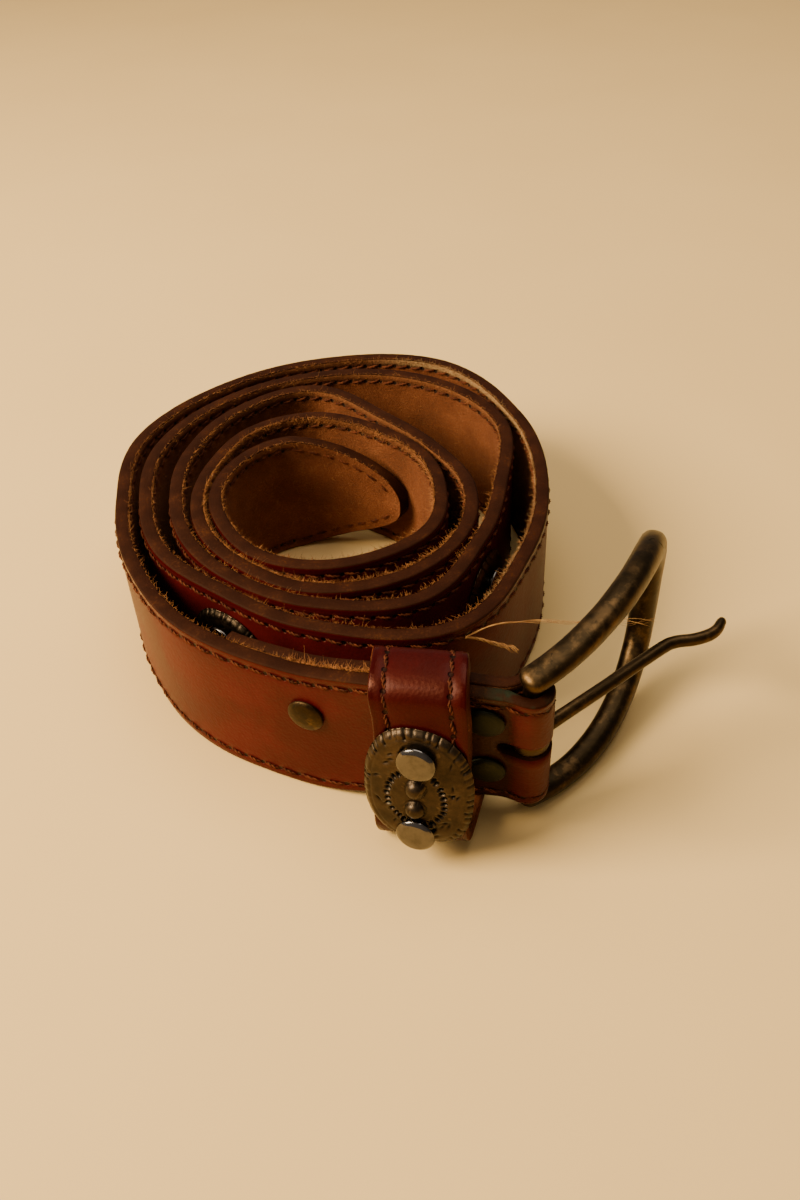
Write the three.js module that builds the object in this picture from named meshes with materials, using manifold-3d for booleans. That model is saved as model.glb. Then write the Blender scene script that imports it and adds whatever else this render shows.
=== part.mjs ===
import * as THREE from 'three';
import { mergeVertices } from 'three/addons/utils/BufferGeometryUtils.js';
import Module from 'manifold-3d';

// A studded leather belt, rolled up and standing on its long edge with the buckle unfastened.
// Millimetres, +Z up, the surface it stands on at z = 0, and the origin under the middle of its box.

// The strap and how it is rolled
const STRAP_WIDTH = 35;
const STRAP_THICKNESS = 3.4;
const STATION_STEP = 4.6;
const TIP_LENGTH = 33;
const TIP_HALF_WIDTH = 0.9;
const TIP_ROUNDNESS = 1.05;
const ROLL_CENTRE = new THREE.Vector3(-20.2, 9.7, 0);
const START_HOUR = 5.04;
const END_HOUR = 61.8;
const FIRST_HOUR = 4;
const HOUR_ANGLE = Math.PI / 6;

// Distance of the grain face from the roll's centre at each hour of a clock face laid on the table,
// twelve being the far side. A row is a turn, from the buckle end inwards to the pointed tip.
const TURNS = [
  {
    at4: 166.2, at5: 92.7, at6: 65.3, at7: 55.8, at8: 49.6, at9: 49,
    at10: 56, at11: 61.1, at12: 67.3, at1: 72.2, at2: 63.8, at3: 58.2,
  },
  {
    at4: 58.3, at5: 62.3, at6: 50.8, at7: 42.8, at8: 42.5, at9: 43.3,
    at10: 49.2, at11: 54.5, at12: 59.6, at1: 62.5, at2: 58.5, at3: 48.1,
  },
  {
    at4: 46.9, at5: 50.4, at6: 43.6, at7: 37.9, at8: 35.6, at9: 35.8,
    at10: 40.2, at11: 47.4, at12: 51.7, at1: 39.8, at2: 37.2, at3: 40.1,
  },
  {
    at4: 42.1, at5: 41.7, at6: 38.7, at7: 33.4, at8: 31.1, at9: 30.4,
    at10: 31.7, at11: 36.3, at12: 37.4, at1: 33.7, at2: 32.9, at3: 32.9,
  },
  {
    at4: 34.4, at5: 32.4, at6: 30.6, at7: 28.5, at8: 26, at9: 26,
    at10: 26.5, at11: 27.2, at12: 26.5, at1: 26.9, at2: 29.6, at3: 31,
  },
];

// The buckle end, by distance along the strap from the heel bar: how far its lower edge is lifted,
// how far its top leans out, how far the grain face dips in, and the two layers and the space between.
const BUCKLE_END = [
  { along: 0, lift: 5.7, lean: 7.8, dip: 0, front: 2.4, space: 4.2, back: 2.4 },
  { along: 5.5, lift: 5.7, lean: 7.8, dip: 1.2, front: 2.9, space: 0.3, back: 2.7 },
  { along: 15, lift: 5.6, lean: 7.6, dip: 1, front: 3.2, space: 0.3, back: 2.9 },
  { along: 51, lift: 0, lean: 0, dip: 0, front: STRAP_THICKNESS, space: 0.3, back: 2.9 },
  { along: 68, lift: 0, lean: 0, dip: 0, front: STRAP_THICKNESS, space: 0.3, back: 2.5 },
];
const FOLD_BACK_LENGTH = 68;
const FOLD_RADIUS = 4.5;
const FOLD_STEPS = 8;

// The slot that the prong comes through
const SLOT_HEIGHT = 3.8;
const SLOT_REACH = 6.5;
const SLOT_LEVEL = 1.5;

// The buckle
const HEEL_BAR_RADIUS = 1.8;
const FRAME_REACH = 46.2;
const FRAME_HALF_HEIGHT = 23.5;
const HEEL_HALF_HEIGHT = 20.4;
const FRAME_SQUARENESS = 3.8;
const FRAME_CURVE = 21.1;
const FRAME_FLARE_SHARE = 0.6;
const HEEL_BAND_WIDTH = 4;
const FRAME_BAND_WIDTH = 7.6;
const FRAME_BAND_THICKNESS = 6;
const FRAME_SWING = 38.3;
const FRAME_STEPS = 34;
const BAR_SIDES = 10;
const PRONG_SWING = 44;
const PRONG_RADIUS = 1.45;
const PRONG_EYE_WIDTH = 3.2;
const PRONG_EYE_INNER = 2.15;
const PRONG_EYE_OUTER = 4.1;
const PRONG_EYE_SIDES = 18;
const PRONG_STEPS = 18;
const PRONG_PATH = [
  { along: 3.2, aside: 0 },
  { along: 20, aside: 0.1 },
  { along: 36, aside: 0.3 },
  { along: 40, aside: -0.3 },
  { along: 43.5, aside: -2.2 },
  { along: 47, aside: -3.3 },
  { along: 49.5, aside: -3.2 },
  { along: 52, aside: -2.2 },
];

// The keeper, a leather loop round both layers that stands proud in front to take the belt's tail.
// Its outer face, by distance out from the grain face and height over the strap's middle. It sits
// askew, so its top is carried aside towards the buckle, and the concho on it is turned as much.
const KEEPER_ALONG = 22.4;
const KEEPER_SKEW = 0.14;
const KEEPER_WIDTH = 20;
const KEEPER_THICKNESS = 2.2;
const KEEPER_STEPS = 44;
const KEEPER_SAMPLES = 2000;
const KEEPER_RIVET_SLACK = 0.5;
const KEEPER_LOOP = [
  { out: -10.4, height: 0, aside: 0 },
  { out: -10.4, height: 12, aside: 0.2 },
  { out: -10.2, height: 18.4, aside: 1.4 },
  { out: -7.6, height: 20.7, aside: 2.6 },
  { out: -1.2, height: 20.7, aside: 3.6 },
  { out: 2.6, height: 18.3, aside: 4 },
  { out: 4.4, height: 12, aside: 4 },
  { out: 6.8, height: 3, aside: 2.8 },
  { out: 9.3, height: -7, aside: 1.2 },
  { out: 10.9, height: -14.5, aside: 0.4 },
  { out: 8.8, height: -19.2, aside: 0 },
  { out: 1.5, height: -20.5, aside: 0 },
  { out: -8.4, height: -20.5, aside: 0 },
  { out: -10.5, height: -18.2, aside: 0 },
  { out: -10.5, height: -10, aside: 0 },
];

// The conchos: domed oval plates with two bumps, each held by two rivets
const CONCHO_HALF_WIDTH = 11.6;
const CONCHO_HALF_HEIGHT = 15;
const CONCHO_SQUARENESS = 2.35;
const CONCHO_RIM = 0.9;
const CONCHO_DOME = 1.5;
const CONCHO_RINGS = 4;
const CONCHO_SIDES = 32;
const CONCHO_RIVET_OFFSET = 9.4;
const CONCHO_PATTERN_DROP = 1.2;
const CONCHO_BUMP_OFFSET = 2.75;
const CONCHO_BUMP_RADIUS = 2.1;
const CONCHO_BUMP_SIDES = 10;
const KEEPER_CONCHO_LEVEL = -2.2;
const STRAP_CONCHO_LEVEL = -2;
const STRAP_CONCHOS = [
  { name: 'front', hour: 18.85 },
  { name: 'side', hour: 28.05 },
];

// The rivets
const RIVET_CAP_RADIUS = 4.1;
const RIVET_CAP_HEIGHT = 1.3;
const RIVET_POST_RADIUS = 1.4;
const RIVET_BACK_RADIUS = 2.7;
const RIVET_BACK_HEIGHT = 0.8;
const RIVET_SIDES = 12;
const RIVET_DOME = [
  { radius: 1, height: 0 },
  { radius: 0.88, height: 0.55 },
  { radius: 0.5, height: 0.92 },
  { radius: 0, height: 1 },
];
const RIVET_BACK_TOP_SHARE = 0.8;
const FOLD_RIVET_ALONG = 8.6;
const FOLD_RIVET_LEVELS = { upper: 10, lower: -6.4 };
const STRAP_RIVET_ALONG = 46.5;
const STRAP_RIVET_LEVEL = 6;
const GAP = 0.3;

// Colours and finishes
const FINISHES = {
  grain: { color: 0x8a3216, roughness: 0.42, metalness: 0 },
  bronze: { color: 0x4f4630, roughness: 0.45, metalness: 1 },
  brass: { color: 0x8a6a2c, roughness: 0.42, metalness: 1 },
  nickel: { color: 0xc9c2b2, roughness: 0.22, metalness: 1 },
};

const wasm = await Module();
wasm.setup();

// Solids

// Turns a closed geometry into a solid that can be cut and joined
function solidOf(geometry) {
  const bare = geometry.clone();
  bare.deleteAttribute('normal');
  bare.deleteAttribute('uv');
  const merged = mergeVertices(bare, 1e-5);
  return new wasm.Manifold(new wasm.Mesh({
    numProp: 3,
    vertProperties: new Float32Array(merged.attributes.position.array),
    triVerts: new Uint32Array(merged.index.array),
  }));
}

function geometryOf(solid) {
  const { vertProperties, triVerts } = solid.getMesh();
  const geometry = new THREE.BufferGeometry();
  geometry.setAttribute('position', new THREE.BufferAttribute(vertProperties, 3));
  geometry.setIndex(new THREE.BufferAttribute(triVerts, 1));
  geometry.computeVertexNormals();
  return geometry;
}

function cut(geometry, cutters) {
  const solid = cutters.reduce((rest, cutter) => rest.subtract(solidOf(cutter)), solidOf(geometry));
  return geometryOf(solid);
}

function join(geometries) {
  const [first, ...others] = geometries.map(solidOf);
  return geometryOf(others.reduce((sum, other) => sum.add(other), first));
}

// Skins a row of rings, each turning right-handed about the direction of the row
function skin(rings, closed) {
  const sides = rings[0].length;
  const positions = rings.flat().flatMap((point) => [point.x, point.y, point.z]);
  const faces = [];
  const spans = closed ? rings.length : rings.length - 1;
  for (let i = 0; i < spans; i += 1) {
    for (let j = 0; j < sides; j += 1) {
      const here = i * sides;
      const next = ((i + 1) % rings.length) * sides;
      const side = (j + 1) % sides;
      faces.push(here + j, here + side, next + side, here + j, next + side, next + j);
    }
  }
  if (!closed) {
    const last = (rings.length - 1) * sides;
    for (let j = 1; j < sides - 1; j += 1) {
      faces.push(0, j + 1, j, last, last + j, last + j + 1);
    }
  }
  const geometry = new THREE.BufferGeometry();
  geometry.setAttribute('position', new THREE.Float32BufferAttribute(positions, 3));
  geometry.setIndex(faces);
  geometry.computeVertexNormals();
  return geometry;
}

function mesh(name, geometry, finish) {
  const part = new THREE.Mesh(geometry, new THREE.MeshStandardMaterial(FINISHES[finish]));
  part.name = name;
  return part;
}

// The strap's line

function smooth(t) {
  const held = THREE.MathUtils.clamp(t, 0, 1);
  return held * held * (3 - 2 * held);
}

function buckleEnd(along, column) {
  const last = BUCKLE_END.length - 1;
  const next = BUCKLE_END.findIndex((row) => row.along > along);
  if (next < 0) return BUCKLE_END[last][column];
  if (next === 0) return BUCKLE_END[0][column];
  const [a, b] = [BUCKLE_END[next - 1], BUCKLE_END[next]];
  return THREE.MathUtils.lerp(a[column], b[column], smooth((along - a.along) / (b.along - a.along)));
}

// One over the radius is what is interpolated, because it keeps a straight run straight
const curvesIn = TURNS.flatMap((turn) => Object.values(turn)).map((radius) => 1 / radius);

function radiusAt(hour) {
  const last = curvesIn.length - 1;
  const place = hour - FIRST_HOUR;
  const k = Math.min(Math.floor(place), last - 1);
  const t = place - k;
  const value = (i) => (i > last ? 2 * curvesIn[last] - curvesIn[last - 1] : curvesIn[Math.max(i, 0)]);
  const [a, b, c, d] = [value(k - 1), value(k), value(k + 1), value(k + 2)];
  const inverse = b + 0.5 * t * (c - a + t * (2 * a - 5 * b + 4 * c - d + t * (3 * b - a - 3 * c + d)));
  return 1 / inverse;
}

function planPoint(hour) {
  const angle = Math.PI / 2 - hour * HOUR_ANGLE;
  return new THREE.Vector2(Math.cos(angle), Math.sin(angle)).multiplyScalar(radiusAt(hour));
}

// The grain line as many short chords, with the distance along it from the heel bar
function traceGrainLine() {
  const chordsAnHour = 24;
  const count = Math.round((END_HOUR - START_HOUR) * chordsAnHour);
  const line = [];
  let along = 0;
  for (let i = 0; i <= count; i += 1) {
    const hour = THREE.MathUtils.lerp(START_HOUR, END_HOUR, i / count);
    const point = planPoint(hour);
    if (i > 0) along += point.distanceTo(line[i - 1].point);
    line.push({ hour, point, along });
  }
  return line;
}

const grainLine = traceGrainLine();
const strapLength = grainLine[grainLine.length - 1].along;

function alongAt(hour) {
  const next = grainLine.findIndex((row) => row.hour >= hour);
  const [a, b] = [grainLine[next - 1], grainLine[next]];
  return THREE.MathUtils.mapLinear(hour, a.hour, b.hour, a.along, b.along);
}

function grainPoint(along) {
  const held = THREE.MathUtils.clamp(along, 0, strapLength);
  const found = grainLine.findIndex((row) => row.along >= held);
  const next = Math.max(found, 1);
  const [a, b] = [grainLine[next - 1], grainLine[next]];
  const point = a.point.clone().lerp(b.point, (along - a.along) / (b.along - a.along));
  const lean = THREE.MathUtils.degToRad(buckleEnd(along, 'lean'));
  const middle = buckleEnd(along, 'lift') + 0.5 * STRAP_WIDTH * Math.cos(lean);
  return new THREE.Vector3(point.x, point.y, middle);
}

// The strap's own directions at a distance along it: towards the tip, into the roll, and up its width
function strapAxes(along) {
  const reach = 1.5;
  const tangent = grainPoint(along + reach).sub(grainPoint(along - reach)).normalize();
  const inward = new THREE.Vector3(tangent.y, -tangent.x, 0).normalize();
  const lean = THREE.MathUtils.degToRad(buckleEnd(along, 'lean'));
  const up = new THREE.Vector3(0, 0, Math.cos(lean)).addScaledVector(inward, -Math.sin(lean));
  up.addScaledVector(tangent, -up.dot(tangent)).normalize();
  return { tangent, inward: up.clone().cross(tangent).negate(), up };
}

function strapPoint(along, depth, height) {
  const { inward, up } = strapAxes(along);
  return grainPoint(along).addScaledVector(inward, depth).addScaledVector(up, height);
}

// A frame on the strap: x towards the buckle, y into the roll, z up the strap's width
function strapPlace(along, depth, height) {
  const { tangent, inward, up } = strapAxes(along);
  const place = new THREE.Matrix4().makeBasis(tangent.clone().negate(), inward, up);
  return place.setPosition(strapPoint(along, depth, height));
}

function halfWidthAt(along) {
  const t = THREE.MathUtils.clamp((along - strapLength + TIP_LENGTH) / TIP_LENGTH, 0, 1);
  const taper = Math.sqrt(1 - t ** TIP_ROUNDNESS);
  return TIP_HALF_WIDTH + (0.5 * STRAP_WIDTH - TIP_HALF_WIDTH) * taper;
}

// Placed pieces

const heelPlace = strapPlace(0, FOLD_RADIUS, 0);

// A ring of the strap's section, from its grain and flesh lines
function strapRing(pointAt, halfWidth) {
  return [
    pointAt('flesh', halfWidth),
    pointAt('flesh', -halfWidth),
    pointAt('grain', -halfWidth),
    pointAt('grain', halfWidth),
  ];
}

function foldBackRing(along) {
  const flesh = ['dip', 'front', 'space'].reduce((sum, column) => sum + buckleEnd(along, column), 0);
  const depths = { flesh, grain: flesh + buckleEnd(along, 'back') };
  return strapRing((face, height) => strapPoint(along, depths[face], height), 0.5 * STRAP_WIDTH);
}

function foldRing(angle) {
  const radii = { grain: FOLD_RADIUS, flesh: FOLD_RADIUS - buckleEnd(0, 'front') };
  const pointAt = (face, height) => new THREE.Vector3(
    radii[face] * Math.cos(angle),
    radii[face] * Math.sin(angle),
    height,
  ).applyMatrix4(heelPlace);
  return strapRing(pointAt, 0.5 * STRAP_WIDTH);
}

function frontRing(along) {
  const dip = buckleEnd(along, 'dip');
  const depths = { grain: dip, flesh: dip + buckleEnd(along, 'front') };
  return strapRing((face, height) => strapPoint(along, depths[face], height), halfWidthAt(along));
}

function evenly(start, end, step) {
  const count = Math.ceil(Math.abs(end - start) / step);
  return Array.from({ length: count + 1 }, (_, i) => THREE.MathUtils.lerp(start, end, i / count));
}

function makeStrap(cutters) {
  const tipStart = strapLength - TIP_LENGTH;
  const rings = [
    ...evenly(FOLD_BACK_LENGTH, 0, STATION_STEP).map(foldBackRing),
    ...evenly(0.5 * Math.PI, -0.5 * Math.PI, Math.PI / FOLD_STEPS).slice(1, -1).map(foldRing),
    ...evenly(0, tipStart, STATION_STEP).map(frontRing),
    ...evenly(tipStart, strapLength, 0.5 * STATION_STEP).slice(1).map(frontRing),
  ];
  return mesh('strap', cut(skin(rings, false), cutters), 'grain');
}

function slotCutter() {
  const radius = 0.5 * SLOT_HEIGHT;
  const past = 2 * FOLD_RADIUS;
  const outline = new THREE.Shape();
  outline.moveTo(past, -radius);
  outline.lineTo(past, radius);
  outline.lineTo(radius - SLOT_REACH, radius);
  outline.absarc(radius - SLOT_REACH, 0, radius, 0.5 * Math.PI, 1.5 * Math.PI, false);
  const depth = 4 * FOLD_RADIUS;
  const slot = new THREE.ExtrudeGeometry(outline, { depth, bevelEnabled: false, curveSegments: 5 });
  slot.rotateX(0.5 * Math.PI).translate(0, 0.5 * depth, SLOT_LEVEL);
  return slot.applyMatrix4(heelPlace);
}

// A hole for a rivet, along y and past both faces of what the rivet grips
function holeCutter(place, start, end) {
  const radius = RIVET_POST_RADIUS + GAP;
  const past = 0.6;
  const length = end - start + 2 * past;
  const hole = new THREE.CylinderGeometry(radius, radius, length, RIVET_SIDES);
  hole.translate(0, 0.5 * (start + end), 0);
  return hole.applyMatrix4(place);
}

// A rivet with its domed cap towards -y, its grip from y = 0, and a plain back cap
function rivetGeometry(grip) {
  const back = grip + GAP;
  const points = [
    new THREE.Vector2(0, back + RIVET_BACK_HEIGHT),
    new THREE.Vector2(RIVET_BACK_TOP_SHARE * RIVET_BACK_RADIUS, back + RIVET_BACK_HEIGHT),
    new THREE.Vector2(RIVET_BACK_RADIUS, back),
    new THREE.Vector2(RIVET_POST_RADIUS, back),
    new THREE.Vector2(RIVET_POST_RADIUS, -GAP),
    ...RIVET_DOME.map(({ radius, height }) => new THREE.Vector2(
      radius * RIVET_CAP_RADIUS,
      -GAP - height * RIVET_CAP_HEIGHT,
    )),
  ];
  return new THREE.LatheGeometry(points.reverse(), RIVET_SIDES);
}

function makeRivet(name, place, grip, finish) {
  const rivet = mesh(name, rivetGeometry(grip), finish);
  rivet.applyMatrix4(place);
  return rivet;
}

// The keeper

// The keeper's outer face as a smooth closed loop in its own frame
const keeperLoop = new THREE.CatmullRomCurve3(
  KEEPER_LOOP.map((row) => new THREE.Vector3(row.aside, -row.out, row.height)),
  true,
  'centripetal',
);
const keeperPlace = strapPlace(KEEPER_ALONG, 0, 0);

function keeperNormal(t) {
  const tangent = keeperLoop.getTangentAt(t);
  return new THREE.Vector3(0, tangent.z, -tangent.y).normalize();
}

// Where the front of the loop passes a height, as a share of its length
function loopShareAt(height) {
  const shares = evenly(0, 1, 1 / KEEPER_SAMPLES).filter((t) => keeperLoop.getPointAt(t).y < 0);
  const miss = (t) => Math.abs(keeperLoop.getPointAt(t).z - height);
  return shares.reduce((best, t) => (miss(t) < miss(best) ? t : best));
}

const keeperConchoShare = loopShareAt(KEEPER_CONCHO_LEVEL);

// A point off the keeper's outer face: across it, up its front from the concho's middle, and out,
// turned with the skewed front
function keeperPoint(across, up, out) {
  const share = keeperConchoShare - (up - KEEPER_SKEW * across) / keeperLoop.getLength();
  const point = keeperLoop.getPointAt(share).addScaledVector(keeperNormal(share), out);
  point.x += across;
  return point;
}

function keeperRivetPlace(up) {
  const share = keeperConchoShare - up / keeperLoop.getLength();
  const out = keeperNormal(share);
  const across = new THREE.Vector3(1, 0, 0);
  const inward = out.clone().negate();
  const place = new THREE.Matrix4().makeBasis(across, inward, across.clone().cross(inward));
  return place.setPosition(keeperPoint(0, up, 0));
}

function makeKeeper(cutters) {
  const half = 0.5 * KEEPER_WIDTH;
  const rings = [];
  for (let i = 0; i < KEEPER_STEPS; i += 1) {
    const t = i / KEEPER_STEPS;
    const outer = keeperLoop.getPointAt(t);
    const inner = outer.clone().addScaledVector(keeperNormal(t), -KEEPER_THICKNESS);
    rings.push([
      new THREE.Vector3(outer.x + half, outer.y, outer.z),
      new THREE.Vector3(outer.x - half, outer.y, outer.z),
      new THREE.Vector3(inner.x - half, inner.y, inner.z),
      new THREE.Vector3(inner.x + half, inner.y, inner.z),
    ]);
  }
  const keeper = mesh('keeper', cut(skin(rings, true), cutters), 'grain');
  keeper.applyMatrix4(keeperPlace);
  return keeper;
}

// The conchos

function conchoOutline(angle) {
  const power = 2 / CONCHO_SQUARENESS;
  const [c, s] = [Math.cos(angle), Math.sin(angle)];
  return {
    across: CONCHO_HALF_WIDTH * Math.sign(c) * Math.abs(c) ** power,
    up: CONCHO_HALF_HEIGHT * Math.sign(s) * Math.abs(s) ** power,
  };
}

function conchoTop(share) {
  return GAP + CONCHO_RIM + CONCHO_DOME * (1 - share * share);
}

// A domed plate whose back follows the leather, where pointAt takes across, up and out
function conchoGeometry(pointAt, cutters) {
  const faces = [];
  const points = [pointAt(0, 0, conchoTop(0)), pointAt(0, 0, GAP)];
  const at = (ring, side, back) => 2 + 2 * ((ring - 1) * CONCHO_SIDES + (side % CONCHO_SIDES)) + back;
  for (let ring = 1; ring <= CONCHO_RINGS; ring += 1) {
    const share = ring / CONCHO_RINGS;
    for (let side = 0; side < CONCHO_SIDES; side += 1) {
      const { across, up } = conchoOutline((side / CONCHO_SIDES) * 2 * Math.PI);
      points.push(pointAt(share * across, share * up, conchoTop(share)));
      points.push(pointAt(share * across, share * up, GAP));
    }
  }
  for (let side = 0; side < CONCHO_SIDES; side += 1) {
    const next = side + 1;
    faces.push(0, at(1, side, 0), at(1, next, 0), 1, at(1, next, 1), at(1, side, 1));
    for (let ring = 1; ring < CONCHO_RINGS; ring += 1) {
      const [a, b] = [at(ring, side, 0), at(ring, next, 0)];
      const [c, d] = [at(ring + 1, next, 0), at(ring + 1, side, 0)];
      faces.push(a, d, c, a, c, b, a + 1, c + 1, d + 1, a + 1, b + 1, c + 1);
    }
    const [a, b] = [at(CONCHO_RINGS, side, 0), at(CONCHO_RINGS, next, 0)];
    faces.push(a, a + 1, b + 1, a, b + 1, b);
  }
  const plate = new THREE.BufferGeometry().setFromPoints(points);
  plate.setIndex(faces);
  const bumps = [CONCHO_BUMP_OFFSET, -CONCHO_BUMP_OFFSET].map((offset) => {
    const bump = new THREE.SphereGeometry(CONCHO_BUMP_RADIUS, CONCHO_BUMP_SIDES, CONCHO_BUMP_SIDES);
    const centre = pointAt(0, offset - CONCHO_PATTERN_DROP, conchoTop(0));
    return bump.translate(centre.x, centre.y, centre.z);
  });
  return cut(join([plate, ...bumps]), cutters);
}

// The two rivets of a concho: how far up they are, and how far the cap stands off the leather
function conchoRivets() {
  return [['upper', CONCHO_RIVET_OFFSET], ['lower', -CONCHO_RIVET_OFFSET]].map(([level, offset]) => {
    const up = offset - CONCHO_PATTERN_DROP;
    const stand = conchoTop((Math.abs(up) - RIVET_CAP_RADIUS) / CONCHO_HALF_HEIGHT);
    return { level, up, stand };
  });
}

function makeKeeperSet() {
  const holds = conchoRivets().map((rivet) => ({ ...rivet, place: keeperRivetPlace(rivet.up) }));
  const cutters = holds.map(({ place, stand }) => holeCutter(place, -stand, 0));
  const concho = mesh('keeper_concho', conchoGeometry(keeperPoint, cutters), 'brass');
  concho.applyMatrix4(keeperPlace);
  const rivets = holds.map(({ level, stand, place }) => {
    const seat = new THREE.Matrix4().makeTranslation(0, -stand, 0);
    seat.premultiply(place).premultiply(keeperPlace);
    return makeRivet(`keeper_rivet_${level}`, seat, stand + KEEPER_THICKNESS + KEEPER_RIVET_SLACK, 'nickel');
  });
  const loopCutters = holds.map(({ place }) => holeCutter(place, 0, KEEPER_THICKNESS));
  return [makeKeeper(loopCutters), concho, ...rivets];
}

function strapConchoParts({ name, hour }) {
  const along = alongAt(hour);
  const pointAt = (across, up, out) => strapPoint(along - across, -out, STRAP_CONCHO_LEVEL + up);
  const holds = conchoRivets().map((rivet) => ({
    ...rivet,
    place: strapPlace(along, 0, STRAP_CONCHO_LEVEL + rivet.up),
  }));
  const cutters = holds.map(({ place, stand }) => holeCutter(place, -stand, STRAP_THICKNESS));
  const concho = mesh(`${name}_concho`, conchoGeometry(pointAt, cutters), 'brass');
  const rivets = holds.map(({ level, stand, place }) => {
    const seat = new THREE.Matrix4().makeTranslation(0, -stand, 0).premultiply(place);
    return makeRivet(`${name}_rivet_${level}`, seat, stand + STRAP_THICKNESS, 'nickel');
  });
  return { pieces: [concho, ...rivets], cutters };
}

// The buckle

function frameLine(t) {
  const angle = THREE.MathUtils.lerp(-0.5 * Math.PI, 0.5 * Math.PI, t);
  const power = 2 / FRAME_SQUARENESS;
  const out = Math.max(Math.cos(angle), 0) ** power;
  const side = Math.sign(Math.sin(angle)) * Math.abs(Math.sin(angle)) ** power;
  const flare = Math.sin(0.5 * Math.PI * Math.min(1, out / FRAME_FLARE_SHARE));
  const height = THREE.MathUtils.lerp(HEEL_HALF_HEIGHT, FRAME_HALF_HEIGHT, flare);
  return new THREE.Vector3(FRAME_REACH * out, FRAME_CURVE * out * out, height * side);
}

// The frame's face normal, which turns with its curve
function frameNormal(point) {
  const slope = (2 * FRAME_CURVE * point.x) / FRAME_REACH ** 2;
  return new THREE.Vector3(-slope, 1, 0).normalize();
}

function makeFrame() {
  const line = new THREE.CatmullRomCurve3(evenly(0, 1, 0.5 / FRAME_STEPS).map(frameLine));
  const rings = evenly(0, 1, 1 / FRAME_STEPS).map((t) => {
    const centre = line.getPointAt(t);
    const normal = frameNormal(centre);
    const across = normal.clone().cross(line.getTangentAt(t)).normalize();
    const width = THREE.MathUtils.lerp(HEEL_BAND_WIDTH, FRAME_BAND_WIDTH, centre.x / FRAME_REACH);
    return Array.from({ length: BAR_SIDES }, (_, i) => {
      const angle = (i / BAR_SIDES) * 2 * Math.PI;
      return centre.clone()
        .addScaledVector(across, 0.5 * width * Math.cos(angle))
        .addScaledVector(normal, 0.5 * FRAME_BAND_THICKNESS * Math.sin(angle));
    });
  });
  const bar = new THREE.CylinderGeometry(HEEL_BAR_RADIUS, HEEL_BAR_RADIUS, 2 * HEEL_HALF_HEIGHT, BAR_SIDES);
  bar.rotateX(0.5 * Math.PI);
  const frame = mesh('buckle_frame', join([skin(rings, false), bar]), 'bronze');
  frame.rotation.z = THREE.MathUtils.degToRad(FRAME_SWING);
  return frame;
}

function makeProng() {
  const half = 0.5 * PRONG_EYE_WIDTH;
  const eye = new THREE.LatheGeometry([
    new THREE.Vector2(PRONG_EYE_INNER, -half),
    new THREE.Vector2(PRONG_EYE_OUTER, -half),
    new THREE.Vector2(PRONG_EYE_OUTER, half),
    new THREE.Vector2(PRONG_EYE_INNER, half),
    new THREE.Vector2(PRONG_EYE_INNER, -half),
  ], PRONG_EYE_SIDES);
  eye.rotateX(0.5 * Math.PI);
  const line = new THREE.CatmullRomCurve3(
    PRONG_PATH.map((row) => new THREE.Vector3(row.along, row.aside, 0)),
  );
  const rings = evenly(0, 1, 1 / PRONG_STEPS).map((t) => {
    const centre = line.getPointAt(t);
    const tangent = line.getTangentAt(t);
    const aside = new THREE.Vector3(-tangent.y, tangent.x, 0);
    return Array.from({ length: BAR_SIDES }, (_, i) => {
      const angle = (i / BAR_SIDES) * 2 * Math.PI;
      return centre.clone()
        .addScaledVector(aside, PRONG_RADIUS * Math.cos(angle))
        .add(new THREE.Vector3(0, 0, PRONG_RADIUS * Math.sin(angle)));
    });
  });
  const prong = mesh('buckle_prong', join([eye, skin(rings, false)]), 'bronze');
  prong.rotation.z = THREE.MathUtils.degToRad(PRONG_SWING);
  prong.position.z = SLOT_LEVEL;
  return prong;
}

// The belt

function makeBelt() {
  const stackAt = (along) => ['front', 'space', 'back'].reduce((sum, c) => sum + buckleEnd(along, c), 0);
  const foldRivets = Object.entries(FOLD_RIVET_LEVELS).map(([level, height]) => ({
    name: `fold_rivet_${level}`,
    place: strapPlace(FOLD_RIVET_ALONG, buckleEnd(FOLD_RIVET_ALONG, 'dip'), height),
    grip: stackAt(FOLD_RIVET_ALONG),
  }));
  const loneRivet = {
    name: 'strap_rivet',
    place: strapPlace(STRAP_RIVET_ALONG, buckleEnd(STRAP_RIVET_ALONG, 'dip'), STRAP_RIVET_LEVEL),
    grip: stackAt(STRAP_RIVET_ALONG),
  };
  const rivets = [...foldRivets, loneRivet];
  const conchos = STRAP_CONCHOS.map(strapConchoParts);
  const cutters = [
    slotCutter(),
    ...rivets.map(({ place, grip }) => holeCutter(place, 0, grip)),
    ...conchos.flatMap((set) => set.cutters),
  ];
  const buckle = new THREE.Group();
  buckle.applyMatrix4(heelPlace);
  buckle.add(makeFrame(), makeProng());
  const belt = new THREE.Group();
  belt.position.copy(ROLL_CENTRE);
  belt.add(makeStrap(cutters));
  belt.add(...makeKeeperSet());
  belt.add(...rivets.map(({ name, place, grip }) => makeRivet(name, place, grip, 'bronze')));
  belt.add(...conchos.flatMap((set) => set.pieces));
  belt.add(buckle);
  return belt;
}

const belt = makeBelt();

export default belt;
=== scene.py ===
import math

import bpy
import numpy as np
from mathutils import Matrix, Vector, noise


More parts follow.
